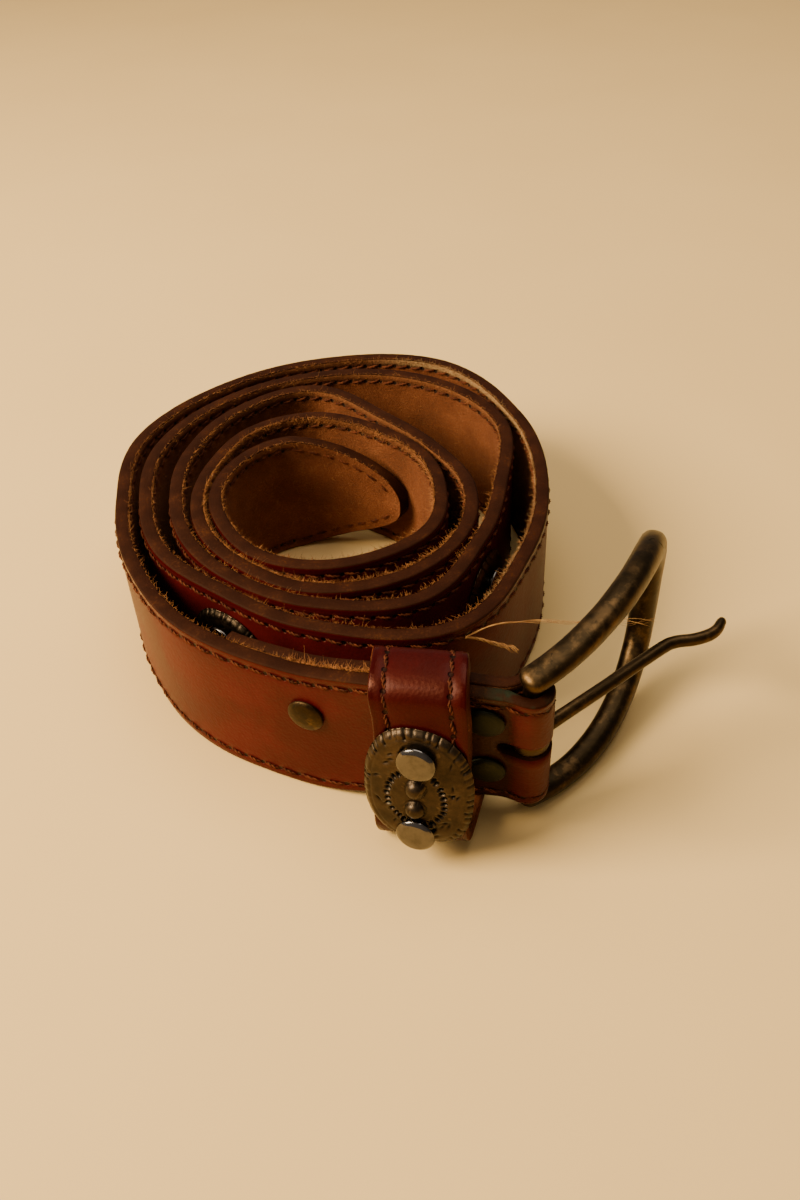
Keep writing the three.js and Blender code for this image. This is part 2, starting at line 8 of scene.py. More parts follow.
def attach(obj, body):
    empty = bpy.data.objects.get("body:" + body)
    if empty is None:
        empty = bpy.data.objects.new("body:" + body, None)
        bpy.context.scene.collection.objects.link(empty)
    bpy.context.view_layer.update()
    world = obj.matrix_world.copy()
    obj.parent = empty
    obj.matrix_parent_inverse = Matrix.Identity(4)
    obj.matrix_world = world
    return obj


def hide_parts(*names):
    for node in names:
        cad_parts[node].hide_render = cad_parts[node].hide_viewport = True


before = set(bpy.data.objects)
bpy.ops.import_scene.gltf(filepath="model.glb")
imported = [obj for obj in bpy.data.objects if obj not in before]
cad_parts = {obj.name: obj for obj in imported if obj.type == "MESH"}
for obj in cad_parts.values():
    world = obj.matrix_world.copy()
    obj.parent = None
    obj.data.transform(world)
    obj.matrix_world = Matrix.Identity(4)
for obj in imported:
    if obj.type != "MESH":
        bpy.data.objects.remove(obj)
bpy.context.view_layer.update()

# A studded leather belt, rolled up and standing on its long edge with the buckle unfastened.
# The shapes are worked out in millimetres in the frame's own axes, and add_mesh makes them metres.

MM = 0.001

# The strap and how it is rolled
STRAP_WIDTH = 35
HALF = 0.5 * STRAP_WIDTH
STRAP_THICKNESS = 3.4
TIP_LENGTH = 33
TIP_HALF_WIDTH = 0.9
TIP_ROUNDNESS = 1.05
ROLL_CENTRE = np.array([-20.2, 9.7, 0])
START_HOUR = 5.04
END_HOUR = 61.8
FIRST_HOUR = 4
CHORDS_AN_HOUR = 96

# Distance of the grain face from the roll's centre at each hour of a clock face laid on the floor,
# from four o'clock on. Twelve is the far side, and a row is a turn, from the buckle end inwards.
TURNS = [
    (166.2, 92.7, 65.3, 55.8, 49.6, 49, 56, 61.1, 67.3, 72.2, 63.8, 58.2),
    (58.3, 62.3, 50.8, 42.8, 42.5, 43.3, 49.2, 54.5, 59.6, 62.5, 58.5, 48.1),
    (46.9, 50.4, 43.6, 37.9, 35.6, 35.8, 40.2, 47.4, 51.7, 39.8, 37.2, 40.1),
    (42.1, 41.7, 38.7, 33.4, 31.1, 30.4, 31.7, 36.3, 37.4, 33.7, 32.9, 32.9),
    (34.4, 32.4, 30.6, 28.5, 26, 26, 26.5, 27.2, 26.5, 26.9, 29.6, 31),
]

# The buckle end, by distance along the strap from the heel bar: how far its lower edge is lifted,
# how far its top leans out, how far the grain face dips in, and the two layers and the space between.
BUCKLE_END = {
    "along": (0, 5.5, 15, 51, 68),
    "lift": (5.7, 5.7, 5.6, 0, 0),
    "lean": (7.8, 7.8, 7.6, 0, 0),
    "dip": (0, 1.2, 1, 0, 0),
    "front": (2.4, 2.9, 3.2, STRAP_THICKNESS, STRAP_THICKNESS),
    "space": (4.2, 0.3, 0.3, 0.3, 0.3),
    "back": (2.4, 2.7, 2.9, 2.9, 2.5),
}
FOLD_BACK_LENGTH = 68
FOLD_RADIUS = 4.5
FRONT_START = FOLD_BACK_LENGTH + math.pi * FOLD_RADIUS

# The slot that the prong comes through
SLOT_HEIGHT = 3.8
SLOT_REACH = 6.5
SLOT_LEVEL = 1.5

# The buckle
HEEL_BAR_RADIUS = 1.8
FRAME_REACH = 46.2
FRAME_HALF_HEIGHT = 23.5
HEEL_HALF_HEIGHT = 20.4
FRAME_SQUARENESS = 3.8
FRAME_CURVE = 21.1
FRAME_FLARE_SHARE = 0.6
HEEL_BAND_WIDTH = 4
FRAME_BAND_WIDTH = 7.6
FRAME_BAND_THICKNESS = 6
FRAME_SWING = 38.3
PRONG_SWING = 44
PRONG_RADIUS = 1.45
PRONG_EYE_WIDTH = 3.2
PRONG_EYE_INNER = 2.15
PRONG_EYE_OUTER = 4.1
PRONG_PATH = [(3.2, 0), (20, 0.1), (36, 0.3), (40, -0.3), (43.5, -2.2), (47, -3.3), (49.5, -3.2), (52, -2.2)]

# The keeper. Its outer face is given by distance out from the grain face, height over the middle, and
# how far it is carried aside towards the buckle, as it sits askew. The concho on it turns as much.
KEEPER_ALONG = 22.4
KEEPER_SKEW = 0.14
KEEPER_WIDTH = 20
KEEPER_THICKNESS = 2.2
KEEPER_LOOP = [
    (-10.4, 0, 0), (-10.4, 12, 0.2), (-10.2, 18.4, 1.4), (-7.6, 20.7, 2.6), (-1.2, 20.7, 3.6),
    (2.6, 18.3, 4), (4.4, 12, 4), (6.8, 3, 2.8), (9.3, -7, 1.2), (10.9, -14.5, 0.4),
    (8.8, -19.2, 0), (1.5, -20.5, 0), (-8.4, -20.5, 0), (-10.5, -18.2, 0), (-10.5, -10, 0),
]
KEEPER_RIVET_SLACK = 0.5

# The conchos
CONCHO_HALF_WIDTH = 11.6
CONCHO_HALF_HEIGHT = 15
CONCHO_SQUARENESS = 2.35
CONCHO_RIM = 0.9
CONCHO_DOME = 1.5
CONCHO_RIVET_OFFSET = 9.4
CONCHO_PATTERN_DROP = 1.2
CONCHO_BUMP_OFFSET = 2.75
CONCHO_BUMP_RADIUS = 2.1
CONCHO_NOTCHES = 46
CONCHO_GIRTH = 88
CONCHO_DOTS = 34
CONCHO_DOT_RING = (6, 7.1)
KEEPER_CONCHO_LEVEL = -2.2
STRAP_CONCHO_LEVEL = -2
STRAP_CONCHOS = [("front", 18.85), ("side", 28.05)]

# The rivets
RIVET_CAP_RADIUS = 4.1
RIVET_CAP_HEIGHT = 1.3
RIVET_POST_RADIUS = 1.4
RIVET_BACK_RADIUS = 2.7
RIVET_BACK_HEIGHT = 0.8
FOLD_RIVET_ALONG = 8.6
FOLD_RIVET_LEVELS = {"upper": 10, "lower": -6.4}
STRAP_RIVET_ALONG = 46.5
STRAP_RIVET_LEVEL = 6
GAP = 0.3

# The stitching
STITCH_PITCH = 4.6
STITCH_LENGTH = 3.7
STITCH_INSET = 2.6
KEEPER_STITCH_INSET = 3.3
STITCH_GAP = 0.5 * (STITCH_PITCH - STITCH_LENGTH)
STITCH_SLANT = 0.42
KEEPER_STITCH_SLANT = 0.35
PLY_RADIUS = 0.21

# Where the keeper's shadow is painted on the leather of the buckle end, by distance along the strap
PAINTED_SHADOW_RUNS = (3.2, 17)

# The loose ends of thread, from a hole on the second turn: along, out of the grain face, and up.
LOOSE_THREAD_ALONG = 393
LOOSE_THREAD_LONG = [
    (0, 0, 0), (3, 0.8, 1), (7, 2, 1.9), (12, 4.4, 2), (18, 8, 1.6), (26, 13, 2), (34, 19, 2.4),
]
LOOSE_THREAD_SHORT = [(0, 0, 0), (2.5, 0.9, -1), (5.5, 2.4, -2.6), (8, 3.8, -3.8), (10, 5.4, -4.6)]

# The camera's place
CAMERA_PLACE = ROLL_CENTRE + np.array([20, -224, 191.2])
CAMERA_PITCH = 40.82
CAMERA_ROLL = -2.827
CAMERA_LENS = 33


# Meshes

def add_mesh(name, points, faces, materials, material_of_face=None, layout=None):
    """A smooth mesh piece from points in millimetres. layout gives each point's place on the leather."""
    mesh = bpy.data.meshes.new(name)
    mesh.from_pydata((np.asarray(points, float) * MM).tolist(), [], [list(f) for f in faces])
    for material in materials:
        mesh.materials.append(material)
    if material_of_face is not None:
        mesh.polygons.foreach_set("material_index", np.asarray(material_of_face, np.int32))
    if layout is not None:
        corners = np.zeros(len(mesh.loops), np.int32)
        mesh.loops.foreach_get("vertex_index", corners)
        uv = mesh.uv_layers.new(name="layout")
        uv.data.foreach_set("uv", (np.asarray(layout, float) * MM)[corners].ravel())
    mesh.polygons.foreach_set("use_smooth", np.ones(len(mesh.polygons), bool))
    mesh.update()
    piece = bpy.data.objects.new(name, mesh)
    bpy.context.scene.collection.objects.link(piece)
    return piece


def turn_faces_out(piece):
    """Points every face of a closed mesh outwards."""
    bpy.context.view_layer.objects.active = piece
    piece.select_set(True)
    bpy.ops.object.mode_set(mode="EDIT")
    bpy.ops.mesh.select_all(action="SELECT")
    bpy.ops.mesh.normals_make_consistent(inside=False)
    bpy.ops.object.mode_set(mode="OBJECT")
    piece.select_set(False)


def add_solid(*parts):
    """A closed mesh piece with its faces outwards."""
    piece = add_mesh(*parts)
    turn_faces_out(piece)
    return piece


def combine(piece, other, operation):
    """Joins another closed mesh to a piece with UNION, or cuts it out with DIFFERENCE."""
    boolean = piece.modifiers.new("combine", "BOOLEAN")
    boolean.operation = operation
    boolean.solver = "EXACT"
    boolean.object = other
    bpy.context.view_layer.update()
    graph = bpy.context.evaluated_depsgraph_get()
    made = bpy.data.meshes.new_from_object(piece.evaluated_get(graph), depsgraph=graph)
    piece.modifiers.clear()
    piece.data = made
    made.polygons.foreach_set("use_smooth", np.ones(len(made.polygons), bool))
    bpy.data.objects.remove(other)


def finish_piece(piece, body, slot, *nodes):
    """Tells the frame which body the piece rides on and hides the nodes that it replaces. The slot is not
    used.
    """
    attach(piece, body)
    if nodes:
        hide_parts(*nodes)
    return piece


def skin_faces(rings, sides, closed_rows=False, caps=True):
    """Quads over rows of rings, where a ring closes on itself, with one flat face over each end."""
    rows = np.arange(rings if closed_rows else rings - 1)
    side = np.arange(sides)
    here = rows[:, None] * sides
    after = ((rows[:, None] + 1) % rings) * sides
    beside = (side + 1) % sides
    quads = np.stack([here + side, here + beside, after + beside, after + side], axis=-1)
    faces = [tuple(q) for q in quads.reshape(-1, 4).tolist()]
    if caps and not closed_rows:
        last = (rings - 1) * sides
        faces.append(tuple(range(sides - 1, -1, -1)))
        faces.append(tuple(range(last, last + sides)))
    return faces


def many_tubes(name, rows, radii, side_axes, sides, materials):
    """One joined mesh of tubes: rows is tubes x rings x 3, radii tubes x rings, with two axes a ring."""
    tubes, rings = rows.shape[:2]
    angle = round_angles(sides)
    first, second = side_axes
    offset = (np.cos(angle)[None, None, :, None] * first[:, :, None, :]
              + np.sin(angle)[None, None, :, None] * second[:, :, None, :])
    points = rows[:, :, None, :] + radii[:, :, None, None] * offset
    one = np.array([f for f in skin_faces(rings, sides, caps=False)])
    starts = np.arange(tubes)[:, None, None] * rings * sides
    quads = (one[None] + starts).reshape(-1, 4).tolist()
    ends = []
    for tube in range(tubes):
        start = tube * rings * sides
        last = start + (rings - 1) * sides
        ends.append(list(range(start + sides - 1, start - 1, -1)))
        ends.append(list(range(last, last + sides)))
    return add_mesh(name, points.reshape(-1, 3), quads + ends, materials)


def unit(vectors):
    """The vectors with a length of one."""
    return vectors / np.linalg.norm(vectors, axis=-1, keepdims=True)


def perlin(points, scale, seed):
    """Smooth noise from -1 to 1 at each point, with features about scale millimetres wide."""
    shift = Vector((seed * 17.3, seed * 5.1, seed * 9.7))
    return np.array([noise.noise(Vector(p) / scale + shift) for p in points])


def smooth(t):
    """A share held between nought and one, eased at both."""
    held = np.clip(t, 0, 1)
    return held * held * (3 - 2 * held)


def bell(distance, width):
    """One at no distance, and near nought past twice the width."""
    return np.exp(-(distance / width) ** 2)


def signed_power(values, power):
    """A power that keeps the sign: it makes a circle's sine and cosine squarer or rounder."""
    return np.sign(values) * np.abs(values) ** power


def round_angles(count):
    return np.linspace(0, 2 * math.pi, count, endpoint=False)


def distances_along(line):
    """The distance of each point from the first one, along the line."""
    return np.concatenate([[0], np.cumsum(np.linalg.norm(np.diff(line, axis=0), axis=1))])


def even_line(points, count):
    """The same line with evenly spaced points."""
    lengths = distances_along(points)
    place = np.linspace(0, lengths[-1], count)
    return np.stack([np.interp(place, lengths, points[:, k]) for k in range(points.shape[1])], axis=1)


def curve_through(knots, count):
    """Evenly spaced points on a smooth curve through the knots."""
    knots = np.array(knots, float)
    ahead = np.vstack([2 * knots[0] - knots[1], knots, 2 * knots[-1] - knots[-2]])
    t = np.linspace(0, 1, 24, endpoint=False)[:, None]
    points = []
    for p0, p1, p2, p3 in zip(ahead, ahead[1:], ahead[2:], ahead[3:]):
        points.append(0.5 * (2 * p1 + (p2 - p0) * t + (2 * p0 - 5 * p1 + 4 * p2 - p3) * t ** 2
                             + (3 * p1 - p0 - 3 * p2 + p3) * t ** 3))
    return even_line(np.vstack([*points, knots[-1:]]), count)


# The strap's line

curves_in = 1 / np.array(TURNS, float).ravel()


def radius_at(hour):
    """The roll's radius at an hour. One over it is interpolated, which keeps a straight run straight."""
    last = len(curves_in) - 1
    place = np.asarray(hour, float) - FIRST_HOUR
    k = np.minimum(np.floor(place).astype(int), last - 1)
    t = place - k

    def value(i):
        ahead = 2 * curves_in[last] - curves_in[last - 1]
        return np.where(i > last, ahead, curves_in[np.clip(i, 0, last)])

    a, b, c, d = value(k - 1), value(k), value(k + 1), value(k + 2)
    return 1 / (b + 0.5 * t * (c - a + t * (2 * a - 5 * b + 4 * c - d + t * (3 * b - a - 3 * c + d))))


line_hours = np.linspace(START_HOUR, END_HOUR, int((END_HOUR - START_HOUR) * CHORDS_AN_HOUR) + 1)
line_angles = math.pi / 2 - line_hours * math.pi / 6
line_points = np.stack([np.cos(line_angles), np.sin(line_angles)], axis=1) * radius_at(line_hours)[:, None]
line_along = distances_along(line_points)
STRAP_LENGTH = line_along[-1]
RUN_END = FRONT_START + STRAP_LENGTH
TIP_START = RUN_END - TIP_LENGTH


def along_at(hour):
    """The distance along the strap from the heel bar at an hour of the roll."""
    return np.interp(hour, line_hours, line_along)


def buckle_end(along, column):
    """A column of the buckle end's table, eased from row to row."""
    table = BUCKLE_END["along"]
    values = np.array(BUCKLE_END[column], float)
    row = np.clip(np.searchsorted(table, along, side="right") - 1, 0, len(table) - 2)
    start = np.take(table, row)
    share = smooth((np.asarray(along, float) - start) / (np.take(table, row + 1) - start))
    return values[row] + (values[row + 1] - values[row]) * share


def grain_point(along):
    """The middle of the grain face's line, carried on straight past both ends."""
    along = np.atleast_1d(np.asarray(along, float))
    row = np.clip(np.searchsorted(line_along, along) - 1, 0, len(line_along) - 2)
    share = (along - line_along[row]) / (line_along[row + 1] - line_along[row])
    plan = line_points[row] + (line_points[row + 1] - line_points[row]) * share[:, None]
    lean = np.radians(buckle_end(along, "lean"))
    middle = buckle_end(along, "lift") + HALF * np.cos(lean)
    return np.column_stack([plan, middle]) + ROLL_CENTRE


def strap_axes(along):
    """Towards the tip, into the roll, and up the strap's width."""
    reach = 1.5
    tangent = unit(grain_point(along + reach) - grain_point(along - reach))
    inward = unit(np.column_stack([tangent[:, 1], -tangent[:, 0], np.zeros(len(tangent))]))
    lean = np.radians(buckle_end(along, "lean"))[:, None]
    up = np.array([0, 0, 1]) * np.cos(lean) - inward * np.sin(lean)
    up = unit(up - (up * tangent).sum(1, keepdims=True) * tangent)
    return tangent, -np.cross(up, tangent), up


def strap_point(along, depth, height):
    """Points at a depth into the roll from the grain face and a height over its middle."""
    along = np.atleast_1d(np.asarray(along, float))
    _, inward, up = strap_axes(along)
    depth = np.broadcast_to(np.asarray(depth, float), along.shape)[:, None]
    height = np.broadcast_to(np.asarray(height, float), along.shape)[:, None]
    return grain_point(along) + inward * depth + up * height


def strap_place(along, depth, height):
    """A frame on the strap, as origin, x towards the buckle, y into the roll and z up the width."""
    tangent, inward, up = (axis[0] for axis in strap_axes(np.array([float(along)])))
    return strap_point(along, depth, height)[0], np.array([-tangent, inward, up])


HEEL = strap_place(0, FOLD_RADIUS, 0)


def placed(place, points):
    """Points given in a frame's own axes."""
    origin, axes = place
    return origin + np.asarray(points, float) @ axes


def leather(run):
    """The leather by distance from its folded-back end: grain point, in, up, forward and thickness."""
    run = np.atleast_1d(np.asarray(run, float))
    on_back = run < FOLD_BACK_LENGTH
    along = np.where(on_back, FOLD_BACK_LENGTH - run, np.maximum(run - FRONT_START, 0))
    tangent, inward, up = strap_axes(along)
    dip, front, space, back = (buckle_end(along, c) for c in ("dip", "front", "space", "back"))
    depth = np.where(on_back, dip + front + space + back, dip)
    grain = grain_point(along) + inward * depth[:, None]
    into = np.where(on_back[:, None], -inward, inward)
    ahead = np.where(on_back[:, None], -tangent, tangent)
    thickness = np.where(on_back, back, front)
    in_fold = (run >= FOLD_BACK_LENGTH) & (run < FRONT_START)
    angle = 0.5 * math.pi - (run - FOLD_BACK_LENGTH) / FOLD_RADIUS
    origin, axes = HEEL
    radial = np.cos(angle)[:, None] * axes[0] + np.sin(angle)[:, None] * axes[1]
    around = np.sin(angle)[:, None] * axes[0] - np.cos(angle)[:, None] * axes[1]
    fold = in_fold[:, None]
    grain = np.where(fold, origin + FOLD_RADIUS * radial, grain)
    into = np.where(fold, -radial, into)
    up = np.where(fold, axes[2], up)
    ahead = np.where(fold, around, ahead)
    return grain, into, up, ahead, thickness


def half_width(run):
    """Half the strap's width, which falls away over the tip."""
    t = np.clip((run - TIP_START) / TIP_LENGTH, 0, 1)
    return TIP_HALF_WIDTH + (HALF - TIP_HALF_WIDTH) * np.sqrt(1 - t ** TIP_ROUNDNESS)


# Materials

class Level:
    """A node's output that adds, subtracts, multiplies and divides as a number does."""

    def __init__(self, finish, socket):
        self.finish = finish
        self.socket = socket

    def __add__(self, other):
        return self.finish.math("ADD", self, other)

    def __sub__(self, other):
        return self.finish.math("SUBTRACT", self, other)

    def __mul__(self, other):
        return self.finish.math("MULTIPLY", self, other)

    def __truediv__(self, other):
        return self.finish.math("DIVIDE", self, other)

    def __abs__(self):
        return self.finish.math("ABSOLUTE", self)


class Finish:
    """A material's node tree, with short calls for the nodes that the finishes share."""

    def __init__(self, name, **sockets):
        self.material = bpy.data.materials.new(name)
        self.material.use_nodes = True
        self.tree = self.material.node_tree
        self.shader = self.tree.nodes["Principled BSDF"]
        for socket, value in sockets.items():
            self.shader.inputs[socket.replace("_", " ")].default_value = value
        self.coords = self.tree.nodes.new("ShaderNodeTexCoord").outputs["Object"]

    def node(self, kind, inputs, **settings):
        made = self.tree.nodes.new("ShaderNode" + kind)
        for key, value in settings.items():
            setattr(made, key, value)
        for key, value in inputs.items():
            value = getattr(value, "socket", value)
            if isinstance(value, bpy.types.NodeSocket):
                self.tree.links.new(value, made.inputs[key])
            else:
                made.inputs[key].default_value = value
        return made

    def noise(self, size, detail=3.0, roughness=0.5, vector=None, distortion=0.0):
        """Noise with features about size millimetres wide."""
        made = self.node("TexNoise", {
            "Vector": vector or self.coords, "Scale": 1 / (size * MM), "Detail": detail,
            "Roughness": roughness, "Distortion": distortion,
        })
        return Level(self, made.outputs["Fac"])

    def cells(self, size):
        """The distance to the nearest of points about size millimetres apart."""
        made = self.node("TexVoronoi", {"Vector": self.coords, "Scale": 1 / (size * MM)})
        return Level(self, made.outputs["Distance"])

    def math(self, operation, a, b=0.0):
        made = self.node("Math", {0: a, 1: b}, operation=operation)
        return Level(self, made.outputs[0])

    def step(self, value, low, high):
        """Nought below low, one above high, and smooth between them."""
        made = self.node("MapRange", {"Value": value, "From Min": low, "From Max": high},
                         interpolation_type="SMOOTHSTEP")
        return Level(self, made.outputs["Result"])

    def range(self, value, low, high):
        """From low where the value is nought to high where it is one."""
        made = self.node("MapRange", {"Value": value, "To Min": low, "To Max": high})
        return Level(self, made.outputs["Result"])

    def mix(self, share, a, b):
        """Colour a where the share is nought and b where it is one. Each is a node's or three numbers."""
        a, b = ((*colour, 1) if isinstance(colour, tuple) else colour for colour in (a, b))
        made = self.node("Mix", {0: share, 6: a, 7: b}, data_type="RGBA")
        return made.outputs[2]

    def ramp(self, value, stops):
        made = self.node("ValToRGB", {"Fac": value})
        ramp = made.color_ramp
        while len(ramp.elements) < len(stops):
            ramp.elements.new(0.5)
        for element, (place, colour) in zip(ramp.elements, stops):
            element.position = place
            element.color = (*colour, 1)
        return made.outputs["Color"]

    def stretched(self, scale, vector=None):
        """The place with each axis scaled, which draws noise out along the smaller scales."""
        made = self.node("Mapping", {"Vector": vector or self.coords, "Scale": scale})
        return made.outputs["Vector"]

    def layout(self):
        """The place on the leather: distance along it and height over its middle, in millimetres."""
        uv = self.node("UVMap", {}, uv_map="layout").outputs["UV"]
        parts = self.node("SeparateXYZ", {"Vector": uv})
        run, height = (self.math("MULTIPLY", parts.outputs[axis], 1 / MM) for axis in "XY")
        return run, height, uv

    def bump(self, height, depth):
        made = self.node("Bump", {"Height": height, "Distance": depth * MM, "Strength": 1.0})
        return made.outputs["Normal"]

    def out(self, **links):
        """Links each named socket of the shader and gives the finished material."""
        for socket, value in links.items():
            self.tree.links.new(getattr(value, "socket", value), self.shader.inputs[socket.replace("_", " ")])
        return self.material


# Colours, as linear red, green and blue
STRAP_TONES = {
    "light": (0.066, 0.0036, 0.0042), "dark": (0.041, 0.0021, 0.0026), "border": (0.04, 0.0016, 0.0014),
}
KEEPER_TONES = {
    "light": (0.033, 0.0006, 0.0012), "dark": (0.021, 0.0005, 0.0009), "border": (0.02, 0.0005, 0.0007),
}
# The keeper's shadow, painted dark on the grain of the buckle end
PAINTED_KEEPER_SHADOW = (0.012, 0.0032, 0.0014)
NEEDLE_HOLE = (0.004, 0.0015, 0.001)
FLESH_TONES = [
    (0.34, (0.085, 0.024, 0.006)), (0.46, (0.12, 0.031, 0.0085)),
    (0.55, (0.155, 0.043, 0.012)), (0.68, (0.24, 0.078, 0.025)),
]
FLESH_RUBBED = (0.3, 0.13, 0.042)
# Painted light on the upper rim of the flesh side, over the lit stretch
FLESH_PAINTED_LIGHT = (0.42, 0.25, 0.1)
FLESH_GROOVE = (0.07, 0.025, 0.01)
FLESH_HOLE = (0.01, 0.004, 0.002)
EDGE_TONES = {"paint": (0.024, 0.0062, 0.0021), "bare": (0.07, 0.022, 0.0065)}
KEEPER_EDGE_TONES = {"paint": (0.06, 0.011, 0.004), "bare": (0.26, 0.1, 0.04)}
VERDIGRIS = (0.007, 0.017, 0.009)
THREAD_TONES = {"light": (0.095, 0.023, 0.008), "dark": (0.028, 0.006, 0.0025)}
KEEPER_THREAD_TONES = {"light": (0.08, 0.019, 0.007), "dark": (0.022, 0.005, 0.002)}
FIBRE_TONES = {"light": (0.38, 0.15, 0.042), "dark": (0.2, 0.068, 0.018)}
# Fibres coloured with painted light, for the lit rim of the flesh side
FIBRE_TONES_PAINTED_LIGHT = {"light": (0.46, 0.26, 0.1), "dark": (0.25, 0.12, 0.04)}
FRAYED_TONES = {"light": (0.5, 0.26, 0.08), "dark": (0.27, 0.12, 0.035)}
BRONZE_TONES = {
    "high": (0.13, 0.072, 0.028), "middle": (0.029, 0.0185, 0.0085), "low": (0.0145, 0.01, 0.0055),
    "patina": (0.014, 0.012, 0.008),
}
DARK_BRONZE_TONES = {
    "high": (0.03, 0.03, 0.018), "middle": (0.018, 0.019, 0.012), "low": (0.011, 0.013, 0.009),
    "patina": (0.008, 0.02, 0.014),
}
CONCHO_TONES = {
    "high": (0.1, 0.068, 0.042), "middle": (0.046, 0.032, 0.0205), "low": (0.024, 0.018, 0.0125),
    "patina": (0.026, 0.038, 0.027),
}
PIT_DARK = (0.004, 0.004, 0.003)
NICKEL_TONES = {"clear": (0.125, 0.114, 0.108), "hazed": (0.085, 0.077, 0.07), "stained": (0.2, 0.15, 0.09)}
FLOOR_TONES = {"light": (0.77, 0.53, 0.215), "dark": (0.72, 0.485, 0.19)}

# The stretch of the flesh side whose upper rim has light painted on it
LIT_RIM_RUNS = (FRONT_START + along_at(12.6), FRONT_START + along_at(16.6))


def shade(colour, *factors):
    """A colour times one factor, or times a factor for each of its three parts."""
    factors = factors * 3 if len(factors) == 1 else factors
    return tuple(part * factor for part, factor in zip(colour, factors))


def between(finish, value, first, last, rise, fall):
    """One from first to last, smooth over a rise from first and a fall around last."""
    return finish.step(value, first - rise, first + rise) * finish.step(value, last + fall, last - fall)


def stitch_holes(finish, run, height, row, first, last):
    """One in each needle hole of the rows at a height either way, and one along their pressed groove."""
    off = finish.math("PINGPONG", run / STITCH_PITCH, 0.5) * STITCH_PITCH
    across = abs(height) - row
    distance = finish.math("SQRT", off * off + across * across)
    inside = finish.math("GREATER_THAN", run, first) * finish.math("LESS_THAN", run, last)
    hole = finish.step(distance, 0.7, 0.35) * inside
    groove = finish.step(abs(across), 1.1, 0.2) * inside
    return hole, groove


def painted_keeper_shadow(finish, run, ragged):
    """One where the keeper's shadow is painted dark on the leather about the fold's rivets, with a ragged
    border.
    """
    # the ragged noise is about a half on average, and pushes the border by three times as much
    push = 3
    first, last = (FRONT_START + place + 0.5 * push for place in PAINTED_SHADOW_RUNS)
    return between(finish, run + ragged * push, first, last, 1.2, 3)


def grain_leather(name, tones, half, inset, first, last, stained=0.0):
    """Smooth waxed leather with a fine grain, scuffs, darker borders and pressed stitch rows, and where asked
    a painted shadow.
    """
    finish = Finish(name, Coat_Weight=0.03, Coat_Roughness=0.2, Specular_IOR_Level=0.16,
                    Specular_Tint=(1, 0.36, 0.2, 1))
    run, height, uv = finish.layout()
    blotches = finish.noise(16, 4, 0.55)
    fine = finish.noise(0.7, 3)
    colour = finish.mix(finish.step(blotches * 0.8 + fine * 0.2, 0.36, 0.64), tones["dark"], tones["light"])
    border = finish.step(abs(height), half - 1.9, half - 0.9)
    colour = finish.mix(border * 0.75, colour, tones["border"])
    scuffs = finish.noise(3, 5, 0.7, finish.stretched((0.25, 1.6, 1), uv), 0.6)
    colour = finish.mix(finish.step(scuffs, 0.66, 0.76) * 0.35, colour, shade(tones["light"], 1.7, 1.9, 2))
    # painted shadow: the keeper's shadow laid dark over the buckle end, as strong as stained asks
    if stained:
        colour = finish.mix(painted_keeper_shadow(finish, run, fine) * stained, colour, PAINTED_KEEPER_SHADOW)
    hole, groove = stitch_holes(finish, run, height, half - inset, first, last)
    colour = finish.mix(groove * 0.35, colour, shade(tones["dark"], 0.4))
    colour = finish.mix(hole, colour, NEEDLE_HOLE)
    wrinkles = finish.noise(2.2, 4, 0.6)
    relief = finish.cells(0.75) * 0.35 + fine * 0.3 + wrinkles * 0.5 - hole * 2.5
    rough = finish.range(blotches * 0.5 + fine * 0.5, 0.3, 0.55) - border * 0.2
    return finish.out(Base_Color=colour, Roughness=rough, Normal=finish.bump(relief, 0.09))


def flesh_leather(name):
    """The leather's napped inner side: fibrous, mottled, paler along the rubbed edges, with painted light on
    the upper rim of one stretch.
    """
    finish = Finish(name, Roughness=0.92, Sheen_Weight=0.12, Sheen_Roughness=0.5,
                    Sheen_Tint=(0.8, 0.4, 0.18, 1), Specular_IOR_Level=0.12)
    run, height, uv = finish.layout()
    blotches = finish.noise(11, 5, 0.6)
    nap = finish.noise(0.55, 5, 0.7)
    fibres = finish.noise(0.5, 4, 0.65, finish.stretched((0.45, 1, 1), uv), 0.8)
    colour = finish.ramp(blotches * 0.55 + nap * 0.45, FLESH_TONES)
    rubbed = finish.step(abs(height), HALF - 2.1, HALF - 0.2) * finish.range(nap, 0.2, 1.2)
    colour = finish.mix(rubbed * 0.5, colour, FLESH_RUBBED)
    # painted light: the lit stretch's upper rim is laid pale where the key light falls
    bare = between(finish, run, *LIT_RIM_RUNS, 12, 10)
    painted_light_mask = bare * finish.step(height, HALF - 3.3, HALF - 1.5) * finish.step(nap, 0.3, 0.55)
    colour = finish.mix(painted_light_mask, colour, FLESH_PAINTED_LIGHT)
    hole, groove = stitch_holes(finish, run, height, HALF - STITCH_INSET, 0, TIP_START)
    colour = finish.mix(groove * 0.45, colour, FLESH_GROOVE)
    colour = finish.mix(hole, colour, FLESH_HOLE)
    return finish.out(Base_Color=colour, Normal=finish.bump(nap + fibres * 0.8 - hole * 1.5, 0.6))


